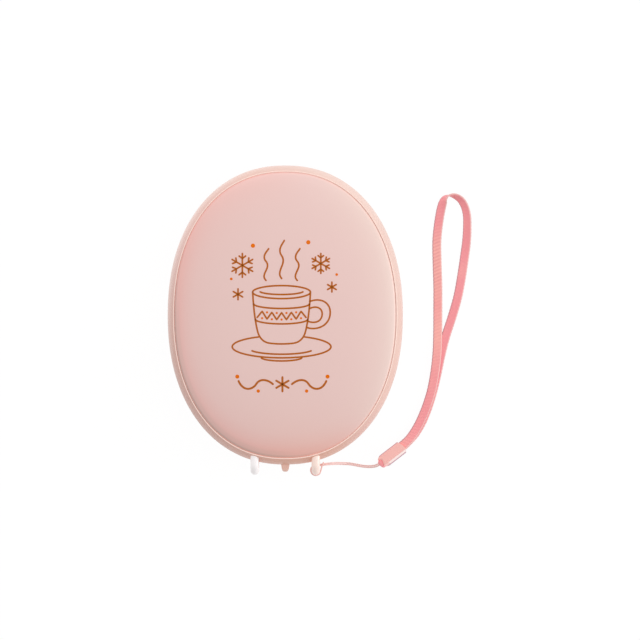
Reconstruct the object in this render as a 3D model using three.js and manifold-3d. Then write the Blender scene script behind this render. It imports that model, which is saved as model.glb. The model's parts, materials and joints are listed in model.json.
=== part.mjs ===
// A rechargeable hand warmer with its wrist lanyard, as an assembly of separate pieces.
// Millimetres. The warmer lies on the flat of its rear cover at z = 0, its front cover faces +Z,
// and the end with the power button, the lights, the charging port and the two feet faces -Y.
// The lanyard is hitched to the right foot and lies beside the warmer at +X.

import * as THREE from 'three';
import { mergeVertices } from 'three/addons/utils/BufferGeometryUtils.js';
import Module from 'manifold-3d';

const wasm = await Module();
wasm.setup();

// Fits and mesh fineness
const clearance = 0.3; // gap between neighbouring pieces
const overrun = 1; // how far a cutting body runs past what it cuts
const weld = 1e-3; // vertices nearer than this are one
const outlineSteps = 64;
const roundSteps = 16;
const smallRoundSteps = 10;

// Body outline; its length and thickness come from what it holds, further down
const halfWidth = 49;
const outlineExponent = 2.18;

// Rim frame: the bulging band round the body, with a ledge inside for each cover
const rimBulge = 5; // how far the side profile runs in from the widest line
const rimHalfHeight = 14; // half height of the whole side profile
const bandInset = 2.55; // width of the band that shows round each cover
const rimWall = 2.6;
const seatDepth = 1.6; // how deep a cover's skirt sits in the rim
const ledgeThickness = 2.2;
const ledgeReach = 7.2; // how far a ledge reaches in from the outline
const gussetReach = 5.6;
const gussetDrop = 1.8;
const bandSteps = 10;

// Covers
const coverWall = 2;
const domeExponent = 2.4;
const domeSoftness = 0.62;
const domeRowShares = [0.3, 0.5, 0.66, 0.78, 0.87, 0.93, 0.97, 0.992];
const restShare = 0.5; // the rear cover is flat inside this share of its half sizes
const landShare = 0.62; // inside this share a cover's inner face is flat
const landThickness = 3.2; // a cover's thickness at its middle
const skirtRise = 1; // height of the skirt's inner wall

// Snap hooks under each cover
const hookThickness = 1.2;
const hookWidth = 5;
const hookBite = 1.1;
const hookRoot = 2.3; // how far above the skirt's foot a hook starts
const barbThickness = 0.4;
const barbSlope = 0.8;
const hookTangentTurn = 0.01; // the step in radians that gives the outline's direction at a hook
const hookTurns = [10, 90, 170, 232, 308].map(THREE.MathUtils.degToRad);

// Feet: two round bars bent out of the rim, one each side of the power button
const footRadius = 1.75;
const footSpacing = 12.7; // from the middle line
const footGap = 2.25; // clear width between the bar and the wall, where the lanyard passes
const footSeamGap = 0.95; // from a leg to the seam of the nearer cover
const footBend = 3;
const footBendSteps = 5;
const footSides = 12;
const tenonRadius = 0.6;
const tenonDepth = 3.4;

// Power button and tact switch
const buttonRadius = 1.8;
const buttonTipRadius = 1;
const buttonProud = 3;
const buttonRound = 0.55;
const buttonFlangeRadius = 2.6;
const buttonFlange = 0.8;
const buttonStemRadius = 1.3;
const buttonStem = 1;
const buttonTravel = 0.5;
const plungerRadius = 1;
const plungerLength = 2.6;
const plungerProud = 1.8;
const switchWidth = 6;
const switchDepth = 3;
const switchHeight = 4.2;

// Main board
const boardThickness = 1.6;
const boardHalfWidth = 14;
const boardFrontHalfWidth = 12.5;
const boardCorner = 3;
const boardWallGap = 2.7; // from the rim's inner wall to the board's front edge

// Indicator lenses and lights, two of each on both sides of the button
const lensPinRadius = 0.8;
const lensPitch = 3;
const lensInnerPlace = 5.2;
const lensBarDepth = 1;
const lensBarHeight = 2.9;
const lensBarMargin = 1;
const lensWallGap = 1.2; // from the rim's inner wall on the middle line to a lens bar
const lensRecess = 0.1;
const lightWidth = 1.6;
const lightDepth = 1;
const lightHeight = 1.6;

// Charging port, under the board
const portWidth = 9;
const portHeight = 3.2;
const portCorner = 1.2;
const portSheet = 0.35;
const portDepth = 7.4;
const portRecess = 0.3;
const tongueWidth = 6.6;
const tongueThickness = 0.7;
const tongueSetback = 0.6;
const tongueBlockDepth = 1.6;

// Parts on the board: middle x, distance behind the board's front edge, width, length, height
const controlChip = { x: 0.5, back: 11, width: 5, length: 5, height: 0.9 };
const powerChip = { x: 8, back: 11.5, width: 4, length: 4, height: 0.9 };
const inductor = { x: -7.5, back: 19, width: 7, length: 7, height: 4, corner: 1.5 };
const capacitor = { x: 8, back: 18.5, radius: 2.5, height: 6 };
const boardPartGap = 4; // from the inductor to the board screws' heads
const boardScrewInset = 3.5; // from the board screws to the board's rear and side edges

// Cells and the strips that join them
const cellRadius = 9.2;
const cellLength = 65;
const cellTerminalRadius = 2.9;
const cellTerminal = 0.6;
const cellShoulder = 0.8;
const cellGap = 0.6;
const cellBoardGap = 6; // from the board's rear edge to the cells
const cellHeadroom = 13.7; // from the cells' positive ends to the rim's inner wall
const stripThickness = 0.5;
const stripHalfWidth = 13.5;
const stripHeight = 8;

// Heating stack behind each cover
const plateThickness = 1;
const plateMargin = 2; // from the edge of the cover's flat middle to the plate's
const filmThickness = 0.5;
const filmMargin = 1;
const padThickness = 1; // under the cradle; the front pad fills what is left over the cells
const padSideMargin = 1.6;
const padEndMargin = 6; // the strip of film past the pad's end, where the leads join it

// Cradle
const cradleWall = 1.6;
const cradleSideHeight = 13;
const cradleEndHeight = 6;
const cradleTopHalfWidth = 17;
const cradleTopTaper = 6;
const cradleFrontHalfWidth = 13;
const cradleSetback = 5.1; // from the board's front edge to the cradle's
const cradleNose = 14; // length of the narrowing front end
const ribWidth = 1.6;
const ribHeight = 3.5;
const armWidth = 7;
const armEndSteps = 6;
const postRadius = 2;
const postX = 11;
const postBack = 7.2;
const standoffRadius = 2.4;

// Screws
const screwShankRadius = 0.8;
const screwHeadRadius = 2;
const screwHead = 1.4;
const screwLength = 5.2;
const screwSlotWidth = 0.5;
const screwSlotDepth = 0.6;
const screwSlotShare = 0.7; // length of the cross slot, as a share of the head
const bossRadius = 3;
const bossInset = 6.2;
const bossRise = 4.4;
const bossTurns = [42, 138, 215, 325].map(THREE.MathUtils.degToRad);

// Leads and the thermistor
const leadRadius = 0.7;
const leadSteps = 12;
const leadSides = 6;
const leadSlack = 4; // how far a lead runs before it turns
const cellPadX = 3;
const cellPadInset = 3; // from the cell leads' pads to the board's rear edge
const heaterPadX = 6.5;
const heaterPadInset = 7;
const sensorPadX = -5;
const beadRadius = 1;
const beadLength = 3;
const beadX = -6;
const heaterLeadX = 6;

// Lanyard
const cordRadius = 0.275;
const cordSides = 8;
const cordSteps = 80;
const sleeveWidth = 5.1;
const sleeveHeight = 4;
const sleeveLength = 9.9;
const sleeveCorner = 1.1;
const sleeveEdge = 0.45;
const sleeveStart = [40.5, -61];
const sleeveTurn = THREE.MathUtils.degToRad(37.7);
const floorGap = 0.05; // the lanyard lies this far above the floor
const plugLength = 1.6;
const plugTipShare = 0.5; // the plug's end, as a share of the sleeve's section
const strapWidth = 3.75;
const strapThickness = 0.9;
const strapSteps = 100;

// The cord's route: out of the plug, to the right foot, round its bar in a hitch, and back
const cordRoute = [
  [38.9, -62.1, 2.12], [37.6, -62.7, 1.3], [35.8, -63.0, 0.5], [32.9, -62.9, 0.34],
  [27.0, -61.9, 0.42], [24.6, -61.75, 1.0], [22.0, -61.65, 3.6], [19.3, -61.75, 8.0], [16.9, -61.95, 11.3],
  [14.9, -62.3, 12.35], [12.7, -62.6, 12.75], [11.1, -63.3, 13.0], [10.6, -64.75, 13.1],
  [11.2, -66.25, 13.1], [12.7, -66.88, 13.1], [14.2, -66.25, 13.15], [14.85, -64.7, 13.4],
  [15.2, -63.3, 13.6], [15.7, -62.2, 13.1], [15.9, -61.55, 12.0], [15.7, -62.2, 10.9],
  [15.2, -63.3, 10.5], [14.85, -64.7, 10.8], [14.2, -66.25, 11.05], [12.7, -66.88, 11.1],
  [11.2, -66.25, 11.15], [10.6, -64.75, 11.3], [11.1, -63.3, 11.5], [12.7, -62.65, 11.75],
  [14.9, -62.75, 11.6], [16.9, -62.5, 10.7], [19.3, -62.35, 7.4], [22.0, -62.3, 3.1],
  [24.6, -62.4, 0.8], [27.0, -62.55, 0.4], [32.9, -63.55, 0.34],
  [35.9, -63.65, 0.5], [38.0, -63.3, 1.3], [39.3, -62.6, 2.12],
];

// The strap's route: middle x, y and height of the band, and its tilt in degrees, where 0 lies
// flat, 90 stands on edge and 180 lies flat with its other face up
const strapRoute = [
  [48.85, -54.55, 2.6, 0], [51.95, -51.6, 2.3, 0], [55.1, -46.9, 1.75, 0], [57.6, -41.7, 1.56, 0],
  [59.6, -36.4, 1.56, 0], [61.1, -31.25, 1.56, 0], [62.6, -22.9, 1.56, 0], [63.4, -15, 1.55, 0],
  [63.65, -7, 1.1, 0], [63.7, 1, 0.52, 0], [63.7, 12, 0.5, 0], [63.4, 22, 0.5, 0],
  [63.3, 31, 0.5, 0], [64.05, 38.4, 0.56, 2], [65.1, 44.4, 0.9, 9], [65.85, 47.0, 1.35, 26],
  [66.9, 49.0, 1.95, 60], [68.4, 49.95, 2.05, 92], [70.7, 49.75, 1.95, 124], [73.1, 48.3, 1.7, 140],
  [74.8, 45.7, 1.55, 147], [75.8, 42.0, 1.42, 151], [76.0, 37.2, 1.24, 156], [75.7, 30.8, 0.98, 166],
  [74.9, 24.6, 0.64, 176], [73.7, 16.5, 0.5, 180], [72.05, 7.6, 0.5, 180], [69.75, -0.5, 0.5, 180],
  [66.95, -9.2, 0.5, 180], [65.1, -16.4, 0.5, 180], [63.5, -24, 0.5, 180], [61.65, -31.8, 0.5, 180],
  [59.55, -38.6, 0.5, 180], [57.15, -44.5, 0.58, 180], [54.2, -49.5, 0.95, 180],
  [51.65, -52.4, 1.3, 180], [49.1, -54.85, 1.5, 180],
];

// Finishes
function finish(color, roughness, metalness = 0) {
  return new THREE.MeshStandardMaterial({ color, roughness, metalness });
}

const facePink = finish('#e5c4bd', 0.55);
const rimPink = finish('#efcdc2', 0.4);
const buttonPink = finish('#e4bdb1', 0.45);
const milkWhite = finish('#fbf0f0', 0.35);
const clearLens = finish('#f4efe9', 0.2);
const lightYellow = finish('#f2e6a0', 0.4);
const steel = finish('#b9babc', 0.35, 0.9);
const blackPlastic = finish('#232326', 0.6);
const boardGreen = finish('#1f5a3c', 0.5);
const ferriteGrey = finish('#4a4a4e', 0.7);
const canSilver = finish('#c5c7ca', 0.3, 0.8);
const cellBlue = finish('#3a6fa8', 0.45);
const nickel = finish('#c9c6bd', 0.35, 0.9);
const aluminium = finish('#c2c5c8', 0.4, 0.9);
const filmAmber = finish('#c27a2c', 0.4);
const padWhite = finish('#e6e4de', 0.95);
const cradleGrey = finish('#d8d8d6', 0.6);
const redLead = finish('#b3261e', 0.5);
const blackLead = finish('#1d1d1f', 0.5);
const whiteLead = finish('#eceae4', 0.5);
const cordPink = finish('#e0b7b1', 0.85);
const sleevePink = finish('#f5b9af', 0.3);
const plugCoral = finish('#e58e84', 0.45);
const strapCoral = finish('#ee9f99', 0.9);

// Turns a geometry into a solid that can be joined and cut, facing out.
function toSolid(geometry) {
  const bare = new THREE.BufferGeometry();
  const loose = geometry.index ? geometry.toNonIndexed() : geometry;
  bare.setAttribute('position', loose.getAttribute('position').clone());
  const merged = mergeVertices(bare, weld);
  const vertProperties = merged.attributes.position.array;
  const triVerts = new Uint32Array(merged.index.array);
  const solid = new wasm.Manifold(new wasm.Mesh({ numProp: 3, vertProperties, triVerts }));
  if (solid.volume() > 0) return solid;
  return new wasm.Manifold(new wasm.Mesh({ numProp: 3, vertProperties, triVerts: triVerts.reverse() }));
}

function toGeometry(solid) {
  const { vertProperties, triVerts } = solid.getMesh();
  const geometry = new THREE.BufferGeometry();
  geometry.setAttribute('position', new THREE.BufferAttribute(new Float32Array(vertProperties), 3));
  geometry.setIndex(new THREE.BufferAttribute(new Uint32Array(triVerts), 1));
  const faceted = geometry.toNonIndexed();
  faceted.computeVertexNormals();
  return faceted;
}

const part = new THREE.Group();

function addPiece(name, solid, material) {
  const mesh = new THREE.Mesh(toGeometry(solid), material);
  mesh.name = name;
  part.add(mesh);
}

// A closed skin over rows of points. A row of one point is a pole; wrap joins the last row to the first.
function skin(rows, wrap = false) {
  const corners = [];
  const spans = wrap ? rows.length : rows.length - 1;
  for (let i = 0; i < spans; i += 1) {
    const lower = rows[i];
    const upper = rows[(i + 1) % rows.length];
    const steps = Math.max(lower.length, upper.length);
    for (let j = 0; j < steps; j += 1) {
      const a = lower[j % lower.length];
      const b = lower[(j + 1) % lower.length];
      const c = upper[(j + 1) % upper.length];
      const d = upper[j % upper.length];
      if (lower.length > 1) corners.push(a, b, c);
      if (upper.length > 1) corners.push(a, c, d);
    }
  }
  return toSolid(new THREE.BufferGeometry().setFromPoints(corners));
}

const middleOf = (row) => row
  .reduce((sum, point) => sum.add(point), new THREE.Vector3())
  .divideScalar(row.length);

const cappedSkin = (rows) => skin([[middleOf(rows[0])], ...rows, [middleOf(rows.at(-1))]]);

// Simple solids, placed by their middle
function box(width, length, height, x, y, z) {
  return toSolid(new THREE.BoxGeometry(width, length, height).translate(x, y, z));
}

// A round bar from one height to another along +Z
function post(radius, bottom, top, x, y, sides = roundSteps) {
  const bar = new THREE.CylinderGeometry(radius, radius, top - bottom, sides);
  bar.rotateX(Math.PI / 2);
  return toSolid(bar.translate(x, y, (top + bottom) / 2));
}

// A round bar along Y from one y to another
function crossBar(radius, from, to, x, z, sides = roundSteps) {
  const bar = new THREE.CylinderGeometry(radius, radius, to - from, sides);
  return toSolid(bar.translate(x, (to + from) / 2, z));
}

// A plate of any outline between two heights
function plate(outline, bottom, top) {
  const shape = new THREE.Shape(outline.map(([x, y]) => new THREE.Vector2(x, y)));
  const body = new THREE.ExtrudeGeometry(shape, { depth: top - bottom, bevelEnabled: false });
  return toSolid(body.translate(0, 0, bottom));
}

// A bar with a rounded rectangular section along Y
function roundedBar(width, height, corner, from, to, x, z) {
  const shape = new THREE.Shape();
  const reachX = width / 2 - corner;
  const reachZ = height / 2 - corner;
  shape.absarc(reachX, reachZ, corner, 0, Math.PI / 2);
  shape.absarc(-reachX, reachZ, corner, Math.PI / 2, Math.PI);
  shape.absarc(-reachX, -reachZ, corner, Math.PI, Math.PI * 1.5);
  shape.absarc(reachX, -reachZ, corner, Math.PI * 1.5, Math.PI * 2);
  const depth = to - from;
  const body = new THREE.ExtrudeGeometry(shape, { depth, bevelEnabled: false, curveSegments: 4 });
  body.rotateX(Math.PI / 2);
  return toSolid(body.translate(x, to, z));
}

// A turned piece: its profile runs from the axis back to the axis as [radius, place along the axis]
function turned(profile, sides = roundSteps) {
  return new THREE.LatheGeometry(profile.map(([radius, along]) => new THREE.Vector2(radius, along)), sides);
}

// Heights, from the floor up
const rearPlateBottom = landThickness + clearance;
const rearFilmBottom = rearPlateBottom + plateThickness + clearance;
const rearPadBottom = rearFilmBottom + filmThickness + clearance;
const rearPadTop = rearPadBottom + padThickness;
const cradleBottom = rearPadTop + clearance;
const cradleTop = cradleBottom + cradleWall;
const midZ = cradleTop + clearance + cellRadius;
const thickness = 2 * midZ;
const frontPadBottom = midZ + cellRadius + clearance;
const frontPlateTop = thickness - rearPlateBottom;
const frontFilmTop = frontPlateTop - plateThickness - clearance;
const frontPadTop = frontFilmTop - filmThickness - clearance;
const switchBottom = midZ - switchHeight / 2;
const boardTop = switchBottom - clearance;
const boardBottom = boardTop - boardThickness;
const portTop = boardBottom - clearance;
const portZ = portTop - portHeight / 2;

// Places along Y, from the wall at the button's end on
const boardScrewX = boardHalfWidth - boardScrewInset;
const boardScrewBack = inductor.back + inductor.length / 2 + boardPartGap + screwHeadRadius;
const boardLength = boardScrewBack + boardScrewInset;
const innerLength = boardWallGap + boardLength + cellBoardGap + cellLength + cellHeadroom;
const halfLength = innerLength / 2 + rimWall;
const innerWallY = rimWall - halfLength;
const boardFront = innerWallY + boardWallGap;
const boardRear = boardFront + boardLength;
const cellLowerEnd = boardRear + cellBoardGap;
const cellUpperEnd = cellLowerEnd + cellLength;
const cellMiddle = cellLowerEnd + cellLength / 2;
const cellX = cellRadius + cellGap / 2;

// The oval outline
function ovalPoint(wide, long, turn, z) {
  const c = Math.cos(turn);
  const s = Math.sin(turn);
  const x = Math.sign(c) * wide * Math.abs(c) ** (2 / outlineExponent);
  const y = Math.sign(s) * long * Math.abs(s) ** (2 / outlineExponent);
  return new THREE.Vector3(x, y, z);
}

function ovalRow(wide, long, z) {
  if (wide === 0) return [new THREE.Vector3(0, 0, z)];
  const step = (2 * Math.PI) / outlineSteps;
  return Array.from({ length: outlineSteps }, (_, i) => ovalPoint(wide, long, i * step, z));
}

const insetRow = (inset, height) => ovalRow(halfWidth - inset, halfLength - inset, midZ + height);

// Where the outline, drawn in by an inset, crosses a given x on the -Y side
const wallAt = (x, inset = 0) => -(halfLength - inset)
  * (1 - (Math.abs(x) / (halfWidth - inset)) ** outlineExponent) ** (1 / outlineExponent);

// How far the rim's side has drawn in at a height above or below its middle
const rimInset = (height) => rimBulge * (1 - Math.sqrt(1 - (height / rimHalfHeight) ** 2));

const seamHeight = rimHalfHeight * Math.sqrt(1 - ((rimBulge - bandInset) / rimBulge) ** 2);
const ledgeTop = seamHeight - seatDepth;
const ledgeUnder = ledgeTop - ledgeThickness;
const coverInset = bandInset + clearance;
const coverHalfWidth = halfWidth - coverInset;
const coverHalfLength = halfLength - coverInset;
const crown = midZ - seamHeight;
const landTop = midZ - landThickness;
const footRise = seamHeight - footSeamGap - footRadius;

// Heating stack: each layer's half sizes, and where the leads join the film past the pad's end
const plateHalfWidth = coverHalfWidth * landShare - plateMargin;
const plateHalfLength = coverHalfLength * landShare - plateMargin;
const filmHalfWidth = plateHalfWidth - filmMargin;
const filmHalfLength = plateHalfLength - filmMargin;
const padHalfWidth = filmHalfWidth - padSideMargin;
const padHalfLength = filmHalfLength - padEndMargin;
const filmLeadY = -(filmHalfLength + padHalfLength) / 2;

// Screw places
const bossPlaces = bossTurns
  .map((turn) => ovalPoint(halfWidth - bossInset, halfLength - bossInset, turn, 0));
const bossBottom = midZ - ledgeUnder - ledgeThickness / 2;
const bossTop = midZ - ledgeUnder + bossRise;
const boardScrewPlaces = [-boardScrewX, boardScrewX].map((x) => [x, boardFront + boardScrewBack]);

// Rim frame
function rimFrame() {
  const side = Array.from({ length: bandSteps + 1 }, (_, i) => {
    const height = seamHeight * Math.sin((Math.PI / 2) * ((2 * i) / bandSteps - 1));
    return [rimInset(height), height];
  });
  const upper = [
    [bandInset, ledgeTop],
    [ledgeReach, ledgeTop],
    [ledgeReach, ledgeUnder],
    [gussetReach, ledgeUnder],
    [rimWall, ledgeUnder - gussetDrop],
  ];
  const lower = upper.map(([inset, height]) => [inset, -height]).reverse();
  let frame = skin([...side, ...upper, ...lower].map(([inset, height]) => insetRow(inset, height)), true);
  for (const { x, y } of bossPlaces) {
    frame = frame.add(post(bossRadius, bossBottom, bossTop, x, y));
    const pilotRadius = screwShankRadius + clearance;
    const pilotBottom = bossTop + clearance + cradleWall + clearance - screwLength - clearance;
    frame = frame.subtract(post(pilotRadius, pilotBottom, bossTop + overrun, x, y, smallRoundSteps));
  }
  const outside = -halfLength - overrun;
  frame = frame.subtract(crossBar(buttonRadius + clearance, outside, innerWallY + overrun, 0, midZ));
  for (const x of lensPlaces()) {
    frame = frame.subtract(crossBar(lensPinRadius + clearance, outside, innerWallY + overrun, x, midZ));
  }
  const slotWidth = portWidth + 2 * clearance;
  const slotHeight = portHeight + 2 * clearance;
  const slotCorner = portCorner + clearance;
  const slotRear = portFrontY() + portDepth + clearance;
  frame = frame.subtract(roundedBar(slotWidth, slotHeight, slotCorner, outside, slotRear, 0, portZ));
  for (const x of [-footSpacing, footSpacing]) {
    for (const z of [midZ - footRise, midZ + footRise]) {
      const holeRadius = tenonRadius + clearance;
      frame = frame.subtract(crossBar(holeRadius, outside, tenonEnd() + clearance, x, z, smallRoundSteps));
    }
  }
  return frame;
}

const lensOuterPlace = lensInnerPlace + lensPitch;
const lensPlaces = () => [-lensOuterPlace, -lensInnerPlace, lensInnerPlace, lensOuterPlace];
const portFrontY = () => wallAt(portWidth / 2, rimInset(midZ - portZ)) + portRecess;
const tenonEnd = () => wallAt(footSpacing, rimInset(footRise)) + tenonDepth;

// Covers
const domeShare = (share) => (1 - share ** domeExponent) ** domeSoftness;

function hook(turn) {
  const edge = ovalPoint(halfWidth - ledgeReach, halfLength - ledgeReach, turn, 0);
  const nextEdge = ovalPoint(halfWidth - ledgeReach, halfLength - ledgeReach, turn + hookTangentTurn, 0);
  const along = nextEdge.sub(edge).normalize();
  const top = ledgeTop + clearance + hookRoot;
  const biteTop = ledgeUnder - clearance;
  const foot = biteTop - barbThickness - barbSlope;
  const shape = new THREE.Shape([
    [clearance, top], [clearance + hookThickness, top], [clearance + hookThickness, foot],
    [clearance, foot], [clearance - hookBite, foot + barbSlope], [clearance - hookBite, biteTop],
    [clearance, biteTop],
  ].map(([inward, height]) => new THREE.Vector2(inward, height)));
  const body = new THREE.ExtrudeGeometry(shape, { depth: hookWidth, bevelEnabled: false });
  body.translate(0, 0, -hookWidth / 2);
  const inward = new THREE.Vector3(-along.y, along.x, 0);
  const up = new THREE.Vector3(0, 0, 1);
  const sideways = new THREE.Vector3().crossVectors(inward, up);
  const frame = new THREE.Matrix4().makeBasis(inward, up, sideways).setPosition(edge);
  return toSolid(body.applyMatrix4(frame));
}

// A cover in heights above the middle of the rim, facing up; flatShare is the flat middle's share
function coverAboveMiddle(flatShare) {
  const peak = crown / domeShare(flatShare);
  const outer = domeRowShares
    .filter((share) => share >= flatShare)
    .map((share) => [share, seamHeight + Math.min(crown, peak * domeShare(share))]);
  const rows = [
    ovalRow(0, 0, midZ),
    ...outer.map(([share, height]) => ovalRow(coverHalfWidth * share, coverHalfLength * share, height)),
    insetRow(coverInset, 0).map((point) => point.setZ(seamHeight)),
    insetRow(coverInset, 0).map((point) => point.setZ(ledgeTop + clearance)),
    insetRow(coverInset + coverWall, 0).map((point) => point.setZ(ledgeTop + clearance)),
    insetRow(coverInset + coverWall, 0).map((point) => point.setZ(ledgeTop + clearance + skirtRise)),
    ovalRow(coverHalfWidth * landShare, coverHalfLength * landShare, landTop),
    ovalRow(0, 0, landTop),
  ];
  return hookTurns.reduce((cover, turn) => cover.add(hook(turn)), skin(rows));
}

const frontCover = () => coverAboveMiddle(0).translate([0, 0, midZ]);
const rearCover = () => coverAboveMiddle(restShare).mirror([0, 0, 1]).translate([0, 0, midZ]);

// Feet
function footPath() {
  const barY = wallAt(footSpacing) - footGap - footRadius;
  const root = tenonEnd() - tenonDepth + footRadius;
  const path = [[root, footRise, 0]];
  for (const side of [1, -1]) {
    for (let i = 0; i <= footBendSteps; i += 1) {
      const share = side > 0 ? i / footBendSteps : 1 - i / footBendSteps;
      const lean = (share * Math.PI) / 2;
      const y = barY + footBend * (1 - Math.sin(lean));
      const height = side * (footRise - footBend * (1 - Math.cos(lean)));
      path.push([y, height, side > 0 ? lean : Math.PI - lean]);
    }
  }
  path.push([root, -footRise, Math.PI]);
  return path;
}

function foot(x) {
  const rows = footPath().map(([y, height, lean]) => Array.from({ length: footSides }, (_, i) => {
    const turn = (i * 2 * Math.PI) / footSides;
    const outward = footRadius * Math.cos(turn);
    return new THREE.Vector3(
      x + footRadius * Math.sin(turn),
      y - outward * Math.sin(lean),
      midZ + height + outward * Math.cos(lean),
    );
  }));
  const bodySide = Array.from({ length: bandSteps + 1 }, (_, i) => {
    const height = seamHeight * Math.sin((Math.PI / 2) * ((2 * i) / bandSteps - 1));
    return insetRow(rimInset(height) - clearance, height);
  });
  let bar = cappedSkin(rows).subtract(cappedSkin(bodySide));
  for (const height of [-footRise, footRise]) {
    const from = tenonEnd() - tenonDepth - footRadius;
    bar = bar.add(crossBar(tenonRadius, from, tenonEnd(), x, midZ + height, smallRoundSteps));
  }
  return bar;
}

// Power button and switch
const flangeY = innerWallY + clearance;
const stemEnd = flangeY + buttonFlange + buttonStem;
const plungerTip = stemEnd + clearance;
const switchFront = plungerTip + plungerProud;

function powerButton() {
  const tip = -halfLength - buttonProud;
  const shoulder = -halfLength - clearance;
  const profile = [
    [0, stemEnd], [buttonStemRadius, stemEnd], [buttonStemRadius, flangeY + buttonFlange],
    [buttonFlangeRadius, flangeY + buttonFlange], [buttonFlangeRadius, flangeY], [buttonRadius, flangeY],
    [buttonRadius, shoulder], [buttonTipRadius, tip + buttonRound],
    [buttonTipRadius - buttonRound / 2, tip + buttonRound / 4], [0, tip],
  ];
  return toSolid(turned(profile)).translate([0, 0, midZ]);
}

const plunger = () => crossBar(plungerRadius, plungerTip, plungerTip + plungerLength, 0, midZ);

function switchBody() {
  const body = box(switchWidth, switchDepth, switchHeight, 0, switchFront + switchDepth / 2, midZ);
  const boreEnd = plungerTip + plungerLength + buttonTravel + clearance;
  return body.subtract(crossBar(plungerRadius + clearance, switchFront - overrun, boreEnd, 0, midZ));
}

// Indicator lenses: a bar behind the wall with two pins that end just under the rim's surface
function lens(side) {
  const middle = side * (lensInnerPlace + lensPitch / 2);
  const front = innerWallY + lensWallGap;
  const width = lensPitch + 2 * lensBarMargin;
  let body = box(width, lensBarDepth, lensBarHeight, middle, front + lensBarDepth / 2, midZ);
  for (const x of [lensInnerPlace, lensOuterPlace]) {
    const end = wallAt(x) + lensRecess;
    body = body.add(crossBar(lensPinRadius, end, front + lensBarDepth / 2, side * x, midZ));
  }
  return body;
}

const onBoard = boardTop + clearance;

function boardBlock({ x, back, width, length, height }) {
  return box(width, length, height, x, boardFront + back, onBoard + height / 2);
}

const lightSizes = { back: lightDepth, width: lightWidth, length: lightDepth, height: lightHeight };
const light = (x) => boardBlock({ x, ...lightSizes });

function inductorBody() {
  const { x, back, width, length, height, corner } = inductor;
  const y = boardFront + back;
  const outline = [[1, 1], [-1, 1], [-1, -1], [1, -1]].flatMap(([sideX, sideY]) => {
    const long = [x + (sideX * width) / 2, y + sideY * (length / 2 - corner)];
    const wide = [x + sideX * (width / 2 - corner), y + (sideY * length) / 2];
    return sideX * sideY > 0 ? [long, wide] : [wide, long];
  });
  return plate(outline, onBoard, onBoard + height);
}

// Charging port
function portShell() {
  const front = portFrontY();
  const shell = roundedBar(portWidth, portHeight, portCorner, front, front + portDepth, 0, portZ);
  const innerWidth = portWidth - 2 * portSheet;
  const innerHeight = portHeight - 2 * portSheet;
  const mouth = front - overrun;
  const innerEnd = front + portDepth - portSheet;
  const innerCorner = portCorner - portSheet;
  return shell.subtract(roundedBar(innerWidth, innerHeight, innerCorner, mouth, innerEnd, 0, portZ));
}

function portTongue() {
  const rear = portFrontY() + portDepth - portSheet - clearance;
  const front = portFrontY() + tongueSetback;
  const length = rear - front;
  const tongue = box(tongueWidth, length, tongueThickness, 0, (front + rear) / 2, portZ);
  const blockWidth = portWidth - 2 * (portSheet + clearance) - portCorner;
  const blockHeight = portHeight - 2 * (portSheet + clearance);
  return tongue.add(box(blockWidth, tongueBlockDepth, blockHeight, 0, rear - tongueBlockDepth / 2, portZ));
}

// Main board
function mainBoard() {
  const outline = [
    [boardFrontHalfWidth, boardFront],
    [boardHalfWidth, boardFront + boardCorner],
    [boardHalfWidth, boardRear],
    [-boardHalfWidth, boardRear],
    [-boardHalfWidth, boardFront + boardCorner],
    [-boardFrontHalfWidth, boardFront],
  ];
  return boardScrewPlaces.reduce((board, [x, y]) => board.subtract(
    post(screwShankRadius + clearance, boardBottom - overrun, boardTop + overrun, x, y, smallRoundSteps),
  ), plate(outline, boardBottom, boardTop));
}

// Cells
function cell(x) {
  const can = cellUpperEnd - cellTerminal;
  const profile = [
    [0, cellLowerEnd], [cellRadius, cellLowerEnd], [cellRadius, can - cellShoulder],
    [cellRadius - cellShoulder, can], [cellTerminalRadius, can], [cellTerminalRadius, cellUpperEnd],
    [0, cellUpperEnd],
  ];
  return toSolid(turned(profile, roundSteps * 2)).translate([x, 0, midZ]);
}

const strip = (y) => box(stripHalfWidth * 2, stripThickness, stripHeight, 0, y, midZ);

// One layer of a heating stack
function ovalPlate(wide, long, bottom, top) {
  return cappedSkin([ovalRow(wide, long, bottom), ovalRow(wide, long, top)]);
}

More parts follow.
